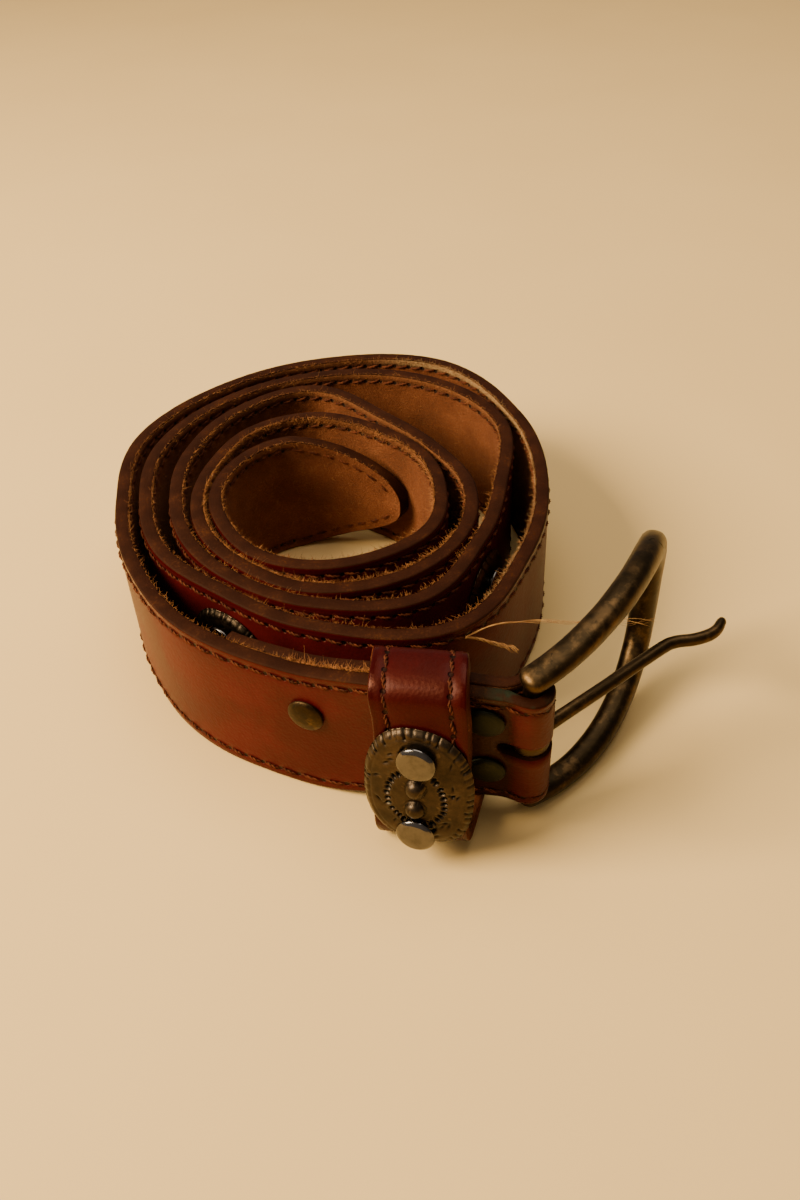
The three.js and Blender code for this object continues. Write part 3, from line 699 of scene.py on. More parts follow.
def cut_edge(name, tones, green=0.0):
    """A cut edge painted dark, with the paint worn through to the fibres here and there."""
    finish = Finish(name, Specular_IOR_Level=0.1, Specular_Tint=(1, 0.6, 0.4, 1))
    specks = finish.noise(0.6, 5, 0.7)
    drift = finish.noise(7, 3, 0.6)
    worn = finish.step(specks * 0.6 + drift * 0.4, 0.53, 0.68)
    paint = finish.mix(finish.step(drift, 0.35, 0.65), shade(tones["paint"], 0.65, 0.6, 0.6), tones["paint"])
    colour = finish.mix(worn * 0.75, paint, tones["bare"])
    if green:
        run, _, _ = finish.layout()
        near_fold = finish.step(abs(run - (FRONT_START + 2)), 9, 3)
        colour = finish.mix(near_fold * finish.step(drift, 0.42, 0.55) * green, colour, VERDIGRIS)
    lines = finish.noise(0.35, 3, 0.6, finish.stretched((1, 1, 2.5)))
    relief = finish.bump(specks + lines * 0.6, 0.12)
    return finish.out(Base_Color=colour, Roughness=finish.range(worn, 0.6, 0.9), Normal=relief)


def thread(name, tones):
    """Waxed thread with fine strands lying along each ply."""
    finish = Finish(name, Roughness=0.62, Specular_IOR_Level=0.2, Specular_Tint=(1, 0.6, 0.4, 1))
    tone = finish.noise(1.6, 4, 0.65)
    strands = finish.noise(0.16, 2, 0.5)
    colour = finish.mix(finish.step(tone, 0.36, 0.62), tones["dark"], tones["light"])
    colour = finish.mix(finish.step(strands, 0.5, 0.7) * 0.35, colour, shade(tones["light"], 1.5))
    return finish.out(Base_Color=colour, Normal=finish.bump(strands, 0.05))


def fibre(name, tones):
    """Dull loose fibres."""
    finish = Finish(name, Roughness=0.8, Specular_IOR_Level=0.2)
    tone = finish.step(finish.noise(4, 3, 0.6), 0.35, 0.65)
    return finish.out(Base_Color=finish.mix(tone, tones["dark"], tones["light"]))


def aged_metal(name, tones, patina_share, rough, pits=False, worn=False):
    """Antiqued metal: bright where it is rubbed, dark in the hollows, with dull spots and patina."""
    finish = Finish(name, Metallic=1.0)
    drift = finish.noise(9, 4, 0.6, distortion=0.4)
    grime = finish.noise(1.5, 5, 0.65)
    colour = finish.ramp(drift * 0.6 + grime * 0.4,
                         [(0.34, tones["low"]), (0.5, tones["middle"]), (0.68, tones["high"])])
    if worn:
        level = finish.node("SeparateXYZ", {"Vector": finish.coords}).outputs["Z"]
        patches = finish.step(finish.noise(5, 3, 0.5, distortion=0.5), 0.42, 0.6)
        patches = patches * finish.step(level, 38 * MM, 50 * MM)
        colour = finish.mix(patches * 0.28, colour, tones["high"])
    bend = finish.node("NewGeometry", {}).outputs["Pointiness"]
    rubbed = finish.step(bend, 0.5, 0.56)
    hollow = finish.step(bend, 0.495, 0.44)
    colour = finish.mix(rubbed * 0.55, colour, tones["high"])
    colour = finish.mix(hollow * 0.85, colour, shade(tones["low"], 0.35))
    if pits:
        pit = finish.node("Attribute", {}, attribute_name="sunk").outputs["Fac"]
        colour = finish.mix(pit, colour, PIT_DARK)
    spotted = finish.step(finish.noise(3.2, 4, 0.6, distortion=0.8), 0.62, 0.7)
    colour = finish.mix(spotted * patina_share, colour, tones["patina"])
    dull = finish.range(grime, *rough) + spotted * (0.25 * patina_share)
    relief = finish.bump(grime * 0.5 + finish.noise(0.5, 3) * 0.25, 0.06)
    return finish.out(Base_Color=colour, Roughness=dull, Normal=relief)


def polished_nickel(name):
    """Plated caps, a little hazed and stained."""
    finish = Finish(name, Metallic=1.0)
    haze = finish.noise(2.5, 5, 0.65)
    lines = finish.noise(0.5, 3, 0.6, finish.stretched((0.15, 1, 1)))
    colour = finish.mix(finish.step(haze, 0.4, 0.7), NICKEL_TONES["clear"], NICKEL_TONES["hazed"])
    stains = finish.step(finish.noise(1.1, 4, 0.6), 0.66, 0.74)
    colour = finish.mix(stains * 0.5, colour, NICKEL_TONES["stained"])
    rough = finish.range(haze * 0.6 + lines * 0.4, 0.08, 0.24)
    return finish.out(Base_Color=colour, Roughness=rough, Normal=finish.bump(haze, 0.03))


def plain_floor():
    finish = Finish("floor", Roughness=0.95, Specular_IOR_Level=0.1)
    return finish.out(Base_Color=finish.mix(finish.noise(90, 2), FLOOR_TONES["dark"], FLOOR_TONES["light"]))


# stained lays the keeper's painted shadow on the strap's grain
STRAP_GRAIN = grain_leather("strap_grain", STRAP_TONES, HALF, STITCH_INSET, 0, TIP_START, stained=0.9)
KEEPER_GRAIN = grain_leather("keeper_grain", KEEPER_TONES, 0.5 * KEEPER_WIDTH, KEEPER_STITCH_INSET, -1, 200)
FLESH = flesh_leather("strap_flesh")
EDGE = cut_edge("strap_edge", EDGE_TONES, green=0.8)
KEEPER_EDGE = cut_edge("keeper_edge", KEEPER_EDGE_TONES)
THREAD = thread("strap_thread", THREAD_TONES)
KEEPER_THREAD = thread("keeper_thread", KEEPER_THREAD_TONES)
FIBRES = fibre("leather_fibres", FIBRE_TONES)
FIBRES_PAINTED_LIGHT = fibre("lit_rim_fibres", FIBRE_TONES_PAINTED_LIGHT)
FRAYED = fibre("frayed_thread", FRAYED_TONES)
BRONZE = aged_metal("bronze", BRONZE_TONES, 0.7, (0.3, 0.48), worn=True)
DARK_BRONZE = aged_metal("dark_bronze", DARK_BRONZE_TONES, 0.6, (0.42, 0.6))
CONCHO_METAL = aged_metal("concho_metal", CONCHO_TONES, 0.3, (0.3, 0.48), pits=True)
NICKEL = polished_nickel("nickel")


# The strap

def section(thickness):
    """A ring of the strap's section as depths and heights, with each point's face: grain, edge or flesh."""
    grain_corner, flesh_corner, crown = 0.55, 0.35, 0.12
    insets = [13.5, 9.5, 6.6, 4.8, 3.7, 3.15, 2.85, 2.6, 2.35, 2.05, 1.5, 1.0]
    grain = [(0.0, HALF - inset) for inset in insets]
    arc = np.linspace(0, 0.5 * math.pi, 5)
    level = HALF - crown
    corner = [(grain_corner * (1 - math.cos(a)), level - grain_corner * (1 - math.sin(a))) for a in arc]
    shares = np.array([0.2, 0.45, 0.72])
    span = thickness - grain_corner - flesh_corner
    edge = [(grain_corner + span * s, HALF - crown * (2 * s - 1) ** 2) for s in shares]
    arc = arc[::-1][::2]
    inner = [(thickness - flesh_corner * (1 - math.cos(a)), level - flesh_corner * (1 - math.sin(a)))
             for a in arc]
    flesh = [(thickness, HALF - inset) for inset in insets[::-1]]
    upper = [(0.0, 0.0), *grain, *corner, *edge, *inner, *flesh]
    marks = [0] * (1 + len(grain) + 2) + [1] * (3 + len(edge) + len(inner)) + [2] * len(flesh)
    lower = [(q, -h) for q, h in upper[:0:-1]]
    lower_marks = marks[:0:-1]
    ring = [*upper, (thickness, 0.0), *lower]
    return np.array(ring), np.array([*marks, 2, *lower_marks])


def strap_stations():
    """The distances at which the strap has a ring, closer together round the fold and the tip."""
    pitch, fold_rings, tip_rings = 1.5, 24, 40
    back = np.arange(0, FOLD_BACK_LENGTH - 0.4, pitch)
    fold = np.linspace(FOLD_BACK_LENGTH, FRONT_START, fold_rings + 1)[:-1]
    front = np.linspace(FRONT_START, TIP_START, int((TIP_START - FRONT_START) / pitch))[:-1]
    tip = TIP_START + TIP_LENGTH * np.sin(np.linspace(0, 0.5 * math.pi, tip_rings))
    return np.concatenate([back, fold, front, tip])


def make_strap():
    """The whole strap with its fold, as one closed mesh with three finishes."""
    runs = strap_stations()
    grain, into, up, _, thickness = leather(runs)
    half = half_width(runs)
    rings = []
    for thick, narrow in zip(thickness, half / HALF):
        ring, marks = section(thick)
        rings.append(ring * np.array([1, narrow]))
    rings = np.array(rings)
    sides = rings.shape[1]
    depth, height = rings[:, :, 0], rings[:, :, 1]
    # pressed stitch rows on both faces
    groove_width, grain_groove, flesh_groove = 0.5, 0.2, 0.3
    near = bell(np.abs(height) - (half[:, None] - STITCH_INSET), groove_width)
    near = near * (half[:, None] > HALF - 0.5)
    on_grain, on_flesh = depth < 0.05, depth > thickness[:, None] - 0.05
    depth = depth + near * (grain_groove * on_grain - flesh_groove * on_flesh)
    points = (grain[:, None] + into[:, None] * depth[..., None] + up[:, None] * height[..., None])
    flat = points.reshape(-1, 3)
    # long waves all over, and a nap that is coarse on the flesh side and fine on the grain
    wave_length, wave_height, nap_length = 14, 0.1, 1.1
    grain_nap, edge_nap, flesh_nap = 0.012, 0.07, 0.16
    waves = perlin(flat, wave_length, 1).reshape(depth.shape) * wave_height
    nap = perlin(flat, nap_length, 2).reshape(depth.shape)
    outward = np.array([-grain_nap, 0, flesh_nap])[marks][None, :]
    points = points + into[:, None] * (waves + outward * nap)[..., None]
    lip = (marks == 1) * (np.abs(height) > half[:, None] - 0.6)
    points = points + up[:, None] * (lip * nap * edge_nap * np.sign(height))[..., None]
    points[..., 2] = np.maximum(points[..., 2], 0)
    faces = skin_faces(len(runs), sides)
    # a quad takes the edge's finish wherever one of its sides is on the edge
    beside = np.roll(marks, -1)
    quad_marks = np.where((marks == 2) | (beside == 2), 2, np.maximum(marks, beside))
    material = np.concatenate([np.tile(quad_marks, len(runs) - 1), [1, 1]])
    layout = np.stack([np.repeat(runs, sides), height.ravel()], axis=1)
    remap = np.array([0, 2, 1])[material]
    strap = add_solid("belt_strap", points.reshape(-1, 3), faces, [STRAP_GRAIN, FLESH, EDGE], remap, layout)
    cut_slot(strap)
    return finish_piece(strap, "belt", "strap_leather", "strap")


def cut_slot(strap):
    """Cuts the prong's slot through the fold."""
    radius = 0.5 * SLOT_HEIGHT
    past = 2 * FOLD_RADIUS
    arc = np.linspace(0.5 * math.pi, 1.5 * math.pi, 17)
    outline = [(past, -radius), (past, radius)]
    outline += [(radius - SLOT_REACH + radius * math.cos(a), radius * math.sin(a)) for a in arc]
    depth = 2 * FOLD_RADIUS
    near = [(x, -depth, z + SLOT_LEVEL) for x, z in outline]
    far = [(x, depth, z + SLOT_LEVEL) for x, z in outline]
    points = placed(HEEL, near + far)
    cutter = add_solid("slot_cutter", points, skin_faces(2, len(outline)), [STRAP_GRAIN, FLESH, EDGE],
                       [2] * (len(outline) + 2), np.zeros((2 * len(outline), 2)))
    combine(strap, cutter, "DIFFERENCE")


# The stitching

def stitch_rows(name, starts, ends, normals, thread_material, ply=PLY_RADIUS, *, seed):
    """Two-ply twisted stitches, each from its start hole to its end hole and bowed off the leather."""
    rings, sides, twists = 8, 4, 1.6
    sunk, arch, flatness = 1.6, 1.3, 0.7
    draw = np.random.default_rng(seed)
    count = len(starts)
    t = np.linspace(0, 1, rings)
    ahead = unit(ends - starts)
    beside = np.cross(ahead, normals)
    rise = ply * (0.9 + 0.35 * draw.random(count))
    bow = np.sin(math.pi * t) ** flatness
    lift = -sunk * ply + (rise[:, None] + arch * ply) * bow[None, :]
    line = starts[:, None] + (ends - starts)[:, None] * t[None, :, None] + normals[:, None] * lift[..., None]
    phase = draw.random(count) * 2 * math.pi
    rows, radii, first, second = [], [], [], []
    for strand in (0, 1):
        angle = phase[:, None] + math.pi * strand + 2 * math.pi * twists * t[None, :]
        offset = (np.cos(angle)[..., None] * normals[:, None] + np.sin(angle)[..., None] * beside[:, None])
        rows.append(line + 0.92 * ply * offset)
        radii.append(np.tile(ply * (0.72 + 0.4 * np.sin(math.pi * t)), (count, 1)))
        first.append(np.repeat(normals[:, None], rings, axis=1))
        second.append(np.repeat(beside[:, None], rings, axis=1))
    piece = many_tubes(name, np.concatenate(rows), np.concatenate(radii),
                       (np.concatenate(first), np.concatenate(second)), sides, [thread_material])
    turn_faces_out(piece)
    return piece


def row_places(start, end):
    """Where each whole stitch of a row begins."""
    count = int((end - start) / STITCH_PITCH)
    return start + STITCH_PITCH * np.arange(count)


def strap_row_point(run, level, face):
    """Points on a face of the leather at a level over its middle, and the way out of that face."""
    grain, into, up, _, thickness = leather(run)
    point = grain + up * np.asarray(level, float)[:, None]
    if face == "grain":
        return point, -into
    return point + into * thickness[:, None], into


def strap_stitches(face):
    """Both rows along the strap and round its tip, on one face."""
    places = np.floor(row_places(0.5 * STITCH_PITCH, TIP_START) / STITCH_PITCH) * STITCH_PITCH
    places = places[places > 0]
    starts, ends, normals = [], [], []
    for side in (1, -1):
        level = np.full(len(places), side * (HALF - STITCH_INSET))
        start, normal = strap_row_point(places + STITCH_GAP, level - STITCH_SLANT, face)
        end, _ = strap_row_point(places + STITCH_PITCH - STITCH_GAP, level + STITCH_SLANT, face)
        starts.append(start)
        ends.append(end)
        normals.append(normal)
        line = tip_row(side)
        lengths = distances_along(line)
        knots = row_places(0, lengths[-1])
        for shift, store in ((STITCH_GAP, starts), (STITCH_PITCH - STITCH_GAP, ends)):
            run, height = (np.interp(knots + shift, lengths, line[:, k]) for k in (0, 1))
            point, normal = strap_row_point(run, height, face)
            store.append(point)
        normals.append(normal)
    starts, ends, normals = (np.concatenate(rows) for rows in (starts, ends, normals))
    piece = stitch_rows(f"stitches_{face}", starts, ends, normals, THREAD, seed=5 if face == "grain" else 6)
    return finish_piece(piece, "belt", "strap_leather")


def tip_row(side):
    """One stitched row round the tip, as run and height, a stitch inset inside the outline."""
    run = TIP_START + TIP_LENGTH * np.sin(np.linspace(0, 0.5 * math.pi, 60))
    outline = np.stack([run, half_width(run)], axis=1)
    step = np.gradient(outline, axis=0)
    inner = outline + STITCH_INSET * unit(np.stack([step[:, 1], -step[:, 0]], axis=1))
    inner = inner[inner[:, 1] > 0]
    return inner * np.array([1, side])


# Fibres along the cut edges

def fibres(name, roots, directions, lengths, radius, material, seed):
    """Fine curved hairs, tapering to their ends."""
    draw = np.random.default_rng(seed)
    rings, sides, curliness, taper = 3, 3, 0.45, 0.8
    t = np.linspace(0, 1, rings)
    curl = draw.normal(0, curliness, (len(roots), 3))
    line = (roots[:, None] + directions[:, None] * (lengths[:, None] * t)[..., None]
            + curl[:, None] * (lengths[:, None] * t ** 2)[..., None])
    line[..., 2] = np.maximum(line[..., 2], 2 * radius)
    ahead = unit(directions)
    first = unit(np.cross(ahead, draw.normal(0, 1, ahead.shape)))
    second = np.cross(ahead, first)
    radii = radius * np.tile(1 - taper * t, (len(roots), 1))
    axes = tuple(np.repeat(axis[:, None], rings, axis=1) for axis in (first, second))
    piece = many_tubes(name, line, radii, axes, sides, [material])
    return finish_piece(piece, "belt", "strap_leather")


def edge_fibres(name, runs, level, spread, length, material, seed, radius=0.045, side=1):
    """Hairs that stand out of the flesh side along the upper edge, or the lower one where side is -1."""
    draw = np.random.default_rng(seed)
    grain, into, up, _, thickness = leather(runs)
    height = side * (level - spread * draw.random(len(runs)) ** 2) * half_width(runs) / HALF
    depth = thickness - 0.25 * draw.random(len(runs))
    roots = grain + into * depth[:, None] + up * height[:, None]
    lean = draw.normal(0, 0.45, (len(runs), 3))
    toward = unit(into * 0.75 + side * up * 0.8 * draw.random((len(runs), 1)) + lean)
    lengths = length * (0.25 + draw.random(len(runs)) ** 2.5)
    return fibres(name, roots, toward, lengths, radius, material, seed + 1)


def make_fuzz():
    """Fibres along both edges, thicker on the rim where light is painted, on the rawest turn and next to the
    keeper. The fibres on that rim are coloured with painted light.
    """
    draw = np.random.default_rng(21)

    def scattered(first, last, count):
        return first + (last - first) * draw.random(count)

    whole = (FRONT_START + 20, FRONT_START + STRAP_LENGTH - 4)
    raw_turn = FRONT_START + along_at(np.array([40.0, 51.5]))
    by_keeper = (FRONT_START + 14, FRONT_START + 52)
    edge_fibres("fibres_top", scattered(*whole, 9000), HALF + 0.02, 1.3, 1.05, FIBRES, 22, radius=0.055)
    edge_fibres("fibres_bottom", scattered(*whole, 900), HALF - 0.3, 1.2, 0.7, FIBRES, 24, side=-1)
    # these fibres carry painted light, in a paler colour over the lit rim
    edge_fibres("fibres_lit_rim", scattered(*LIT_RIM_RUNS, 2600), HALF - 0.02, 1.6, 0.85, FIBRES_PAINTED_LIGHT, 26)
    edge_fibres("fibres_raw_turn", scattered(*raw_turn, 4200), HALF + 0.02, 2.6, 1.1, FIBRES, 28, radius=0.06)
    edge_fibres("fibres_between", scattered(*by_keeper, 1500), HALF + 0.05, 1.2, 1.3, FIBRES, 30, radius=0.07)
    make_nap()


def make_nap():
    """Short loose fibres that lie over the flesh side of the inner turns."""
    draw = np.random.default_rng(61)
    count, margin, clear, rise = 5200, 0.4, 0.02, 0.35
    shortest, spare = 0.5, 1.1
    reach = FRONT_START + along_at(np.array([20.0, END_HOUR]))
    runs = reach[0] + (reach[1] - reach[0]) * draw.random(count)
    level = (2 * draw.random(count) - 1) * (half_width(runs) - margin)
    grain, into, up, ahead, thickness = leather(runs)
    roots = grain + into * (thickness + clear)[:, None] + up * level[:, None]
    lie = draw.normal(0, 1, (count, 1)) * up + draw.normal(0, 1, (count, 1)) * ahead
    toward = unit(unit(lie) + rise * into)
    lengths = shortest + spare * draw.random(count) ** 2
    return fibres("fibres_nap", roots, toward, lengths, 0.04, FIBRES, 62)


# The thread that has come loose

def strand(name, knots, radius, material, spread, strands, seed):
    """A frayed thread: fine strands that start together and drift apart along it."""
    draw = np.random.default_rng(seed)
    line = curve_through(knots, 40)
    t = np.linspace(0, 1, len(line))
    tangent = unit(np.gradient(line, axis=0))
    first = unit(np.cross(tangent, np.array([0, 0, 1.0])))
    second = np.cross(tangent, first)
    rows, radii = [], []
    for _ in range(strands):
        phase = 2 * math.pi * draw.random()
        turns = 2.5 + draw.random()
        away = radius * 1.6 + spread * draw.random() * t ** 1.5
        angle = phase + 2 * math.pi * turns * t
        drift = draw.normal(0, 0.6, 3) * (spread * t ** 2)[:, None]
        beside = (away * np.cos(angle))[:, None] * first + (away * np.sin(angle))[:, None] * second
        rows.append(line + drift + beside)
        radii.append(radius * (1 - 0.55 * t))
    count = len(rows)
    axes = (np.repeat(first[None], count, axis=0), np.repeat(second[None], count, axis=0))
    piece = many_tubes(name, np.array(rows), np.array(radii), axes, 4, [material])
    return finish_piece(piece, "belt", "strap_leather")


def make_loose_threads():
    """Two frayed ends that have worked out of the stitching behind the keeper."""
    hole = strap_point(LOOSE_THREAD_ALONG, -0.3, HALF - STITCH_INSET)[0]
    tangent, inward, up = (axis[0] for axis in strap_axes(np.array([LOOSE_THREAD_ALONG])))
    ahead = -tangent

    def off(along, out, high):
        return hole + along * ahead - out * inward + high * up

    strand("loose_thread_long", [off(*k) for k in LOOSE_THREAD_LONG], 0.06, FRAYED, 1.3, 6, 71)
    strand("loose_thread_short", [off(*k) for k in LOOSE_THREAD_SHORT], 0.13, FRAYED, 0.5, 9, 72)


# The keeper

class KeeperLoop:
    """The keeper's outer face as a smooth closed loop, in its own frame and by share of its length."""

    def __init__(self, rows):
        knots = np.array([(aside, -out, height) for out, height, aside in rows], float)
        count = len(knots)
        points = []
        for i in range(count):
            p0, p1, p2, p3 = (knots[(i + k) % count] for k in (-1, 0, 1, 2))
            d0, d1, d2 = (np.linalg.norm(b - a) ** 0.5 for a, b in ((p0, p1), (p1, p2), (p2, p3)))
            m1 = ((p1 - p0) / d0 - (p2 - p0) / (d0 + d1) + (p2 - p1) / d1) * d1
            m2 = ((p2 - p1) / d1 - (p3 - p1) / (d1 + d2) + (p3 - p2) / d2) * d1
            t = np.linspace(0, 1, 60, endpoint=False)[:, None]
            points.append(p1 + m1 * t + (3 * (p2 - p1) - 2 * m1 - m2) * t ** 2
                          + (2 * (p1 - p2) + m1 + m2) * t ** 3)
        self.points = np.vstack([*points, knots[:1]])
        self.lengths = distances_along(self.points)
        self.length = self.lengths[-1]

    def at(self, share):
        place = (np.asarray(share, float) % 1) * self.length
        return np.stack([np.interp(place, self.lengths, self.points[:, k]) for k in range(3)], axis=-1)

    def normal(self, share):
        step = 0.4 / self.length
        tangent = unit(self.at(np.asarray(share) + step) - self.at(np.asarray(share) - step))
        return unit(np.stack([np.zeros_like(tangent[..., 0]), tangent[..., 2], -tangent[..., 1]], axis=-1))


keeper_loop = KeeperLoop(KEEPER_LOOP)
keeper_place = strap_place(KEEPER_ALONG, 0, 0)
front_shares = np.linspace(0, 1, 4000)
front_shares = front_shares[keeper_loop.at(front_shares)[:, 1] < 0]
levels = keeper_loop.at(front_shares)[:, 2]
KEEPER_CONCHO_SHARE = front_shares[np.argmin(np.abs(levels - KEEPER_CONCHO_LEVEL))]


def keeper_point(across, up, out):
    """Points off the keeper's front: across its width, up from the concho's middle, and out."""
    turned = np.asarray(up, float) - KEEPER_SKEW * np.asarray(across, float)
    share = KEEPER_CONCHO_SHARE - turned / keeper_loop.length
    local = keeper_loop.at(share) + keeper_loop.normal(share) * np.asarray(out, float)[..., None]
    local[..., 0] += across
    return placed(keeper_place, local)


def make_keeper():
    """The keeper's closed loop, with its grain outwards."""
    half = 0.5 * KEEPER_WIDTH
    corner, inner_corner = 0.6, 0.3
    insets = [8, 6, 4.6, 4, 3.6, 3.3, 3.0, 2.6, 2, 1.3]
    arc = np.linspace(0, 0.5 * math.pi, 5)
    outer = [(0.0, half - inset) for inset in insets]
    outer += [(-corner * (1 - math.cos(a)), half - corner * (1 - math.sin(a))) for a in arc]
    middle = [(-0.4 * KEEPER_THICKNESS, half + 0.03), (-0.65 * KEEPER_THICKNESS, half)]
    inner = [(-KEEPER_THICKNESS + inner_corner * (1 - math.cos(a)), half - inner_corner * (1 - math.sin(a)))
             for a in arc[::-2]]
    inner += [(-KEEPER_THICKNESS, half - inset) for inset in (2, 5)]
    upper = [(0.0, 0.0), *outer, *middle, *inner]
    marks = [0] * (1 + len(insets) + 3) + [1] * (2 + len(middle) + 1) + [2] * (len(inner) - 1)
    ring = np.array([*upper, (-KEEPER_THICKNESS, 0.0), *[(q, -x) for q, x in upper[:0:-1]]])
    marks = np.array([*marks, 2, *marks[:0:-1]])
    steps = 230
    shares = np.arange(steps) / steps
    outer_line, normal = keeper_loop.at(shares), keeper_loop.normal(shares)
    out, across = ring[:, 0], ring[:, 1]
    groove_depth, groove_width = 0.25, 0.6
    row = half - KEEPER_STITCH_INSET
    out = out - groove_depth * bell(np.abs(across) - row, groove_width) * (out > -0.1)
    local = outer_line[:, None] + normal[:, None] * out[None, :, None]
    local[..., 0] += across[None, :]
    flat = local.reshape(-1, 3)
    face_wave, face_height, side_wave, side_height = 7, 0.13, 9, 0.22
    wobble = perlin(flat, face_wave, 31).reshape(local.shape[:2])
    local = local + normal[:, None] * (face_height * wobble)[..., None]
    ripple = perlin(flat, side_wave, 32).reshape(local.shape[:2])
    local[..., 0] += side_height * ripple * (np.abs(across) > 0.8 * half)[None, :]
    beside = np.roll(marks, -1)
    quad_marks = np.where((marks == 1) | (beside == 1), 1, marks)
    material = np.array([0, 2, 1])[np.tile(quad_marks, steps)]
    along = np.repeat(shares * keeper_loop.length, len(ring))
    layout = np.stack([along, np.tile(across, steps)], axis=1)
    faces = skin_faces(steps, len(ring), closed_rows=True)
    points = placed(keeper_place, local.reshape(-1, 3))
    keeper = add_solid("keeper_loop", points, faces, [KEEPER_GRAIN, FLESH, KEEPER_EDGE], material, layout)
    return finish_piece(keeper, "belt", "keeper_leather", "keeper")


def keeper_stitches():
    """Both rows round the keeper."""
    places = row_places(0, keeper_loop.length)
    starts, ends, normals = [], [], []
    for side in (1, -1):
        level = side * (0.5 * KEEPER_WIDTH - KEEPER_STITCH_INSET)
        for shift, lean, store in ((STITCH_GAP, -KEEPER_STITCH_SLANT, starts),
                                   (STITCH_PITCH - STITCH_GAP, KEEPER_STITCH_SLANT, ends)):
            share = (places + shift) / keeper_loop.length
            local = keeper_loop.at(share) - 0.12 * keeper_loop.normal(share)
            local[:, 0] += level + lean
            store.append(placed(keeper_place, local))
        middle = keeper_loop.normal((places + 0.5 * STITCH_PITCH) / keeper_loop.length)
        normals.append(middle @ keeper_place[1])
    starts, ends, normals = (np.concatenate(rows) for rows in (starts, ends, normals))
    piece = stitch_rows("keeper_stitches", starts, ends, normals, KEEPER_THREAD, 1.15 * PLY_RADIUS, seed=8)
    return finish_piece(piece, "belt", "keeper_leather")


# The conchos

def concho_top(share):
    """Height of the plain dome over the leather, by share of the way from its middle to its rim."""
    return GAP + CONCHO_RIM + CONCHO_DOME * (1 - np.asarray(share, float) ** 2)


def concho_bevel(share):
    """How far the outer tenth slopes down to the rim."""
    return 0.6 * smooth((share - 0.9) / 0.1) ** 1.5


def rim_strokes(share, turn, draw):
    """Depth of the hammered strokes round the rim, uneven in place, length and strength."""
    depth, weak, rise = 0.55, 0.35, 0.04
    cut = 0
    for k in range(CONCHO_NOTCHES):
        place = (k + 0.35 * draw.normal()) / CONCHO_NOTCHES
        away = np.abs((turn - place + 0.5) % 1 - 0.5) * CONCHO_GIRTH
        start = 0.83 + 0.06 * draw.random()
        # the stretch past the half turn is the most worn
        strength = (0.25 + 0.55 * draw.random()) * (weak if 0.5 < place % 1 < 0.72 else 1)
        cut = cut + depth * strength * bell(away, 0.24 + 0.1 * draw.random()) * smooth((share - start) / rise)
    return cut


def punched_dots(across, up, draw):
    """Height of the oval ring of punched dots, each stretched outwards, with a raised lip."""
    depth, reach, lip, lip_reach, stretch, wander = 0.6, 0.4, 0.08, 0.68, 1.5, 0.12
    high = 0
    for k in range(CONCHO_DOTS):
        angle = 2 * math.pi * (k + 0.25 * draw.random()) / CONCHO_DOTS
        dx = across - (CONCHO_DOT_RING[0] * math.cos(angle) + wander * draw.normal())
        dy = up - (CONCHO_DOT_RING[1] * math.sin(angle) + wander * draw.normal())
        outwards = dx * math.cos(angle) + dy * math.sin(angle)
        beside = dy * math.cos(angle) - dx * math.sin(angle)
        away = np.hypot(outwards / stretch, beside)
        high = high - depth * bell(away, reach) + lip * bell(away - lip_reach, 0.16)
    return high


def middle_bumps(across, up):
    """Height of the two round bumps, each with a groove about it."""
    height, groove, groove_off, groove_width = 0.86, 0.12, 0.25, 0.2
    high = 0
    for side in (1, -1):
        away = np.hypot(across, up - side * CONCHO_BUMP_OFFSET)
        ball = np.sqrt(np.clip(CONCHO_BUMP_RADIUS ** 2 - away ** 2, 0, None))
        high = high + height * ball - groove * bell(away - CONCHO_BUMP_RADIUS - groove_off, groove_width)
    return high


def scattered_strokes(across, up, draw):
    """Depth of the short strokes between the ring of dots and the rim."""
    count, depth, length, width = 26, 0.3, 0.9, 0.3
    cut = 0
    for _ in range(count):
        angle = 2 * math.pi * draw.random()
        reach = 0.62 + 0.2 * draw.random()
        heading = 0.7 + 0.5 * draw.normal()
        dx = across - CONCHO_HALF_WIDTH * reach * math.cos(angle)
        dy = up - CONCHO_HALF_HEIGHT * reach * math.sin(angle)
        lengthways = dx * math.cos(heading) + dy * math.sin(heading)
        sideways = dy * math.cos(heading) - dx * math.sin(heading)
        cut = cut + depth * bell(lengthways, length) * bell(sideways, width)
    return cut


def concho_relief(across, up, share, turn, seed):
    """Height of the worked face over the leather: bevelled milled rim, punched dots, bumps and strokes."""
    draw = np.random.default_rng(seed)
    rim_line, line_place, line_width = 0.07, 0.865, 0.018
    pattern_up = up + CONCHO_PATTERN_DROP
    high = concho_top(share) - concho_bevel(share) - rim_line * bell(share - line_place, line_width)
    high = high - rim_strokes(share, turn, draw)
    high = high + punched_dots(across, pattern_up, draw) + middle_bumps(across, pattern_up)
    return high - scattered_strokes(across, up, draw)


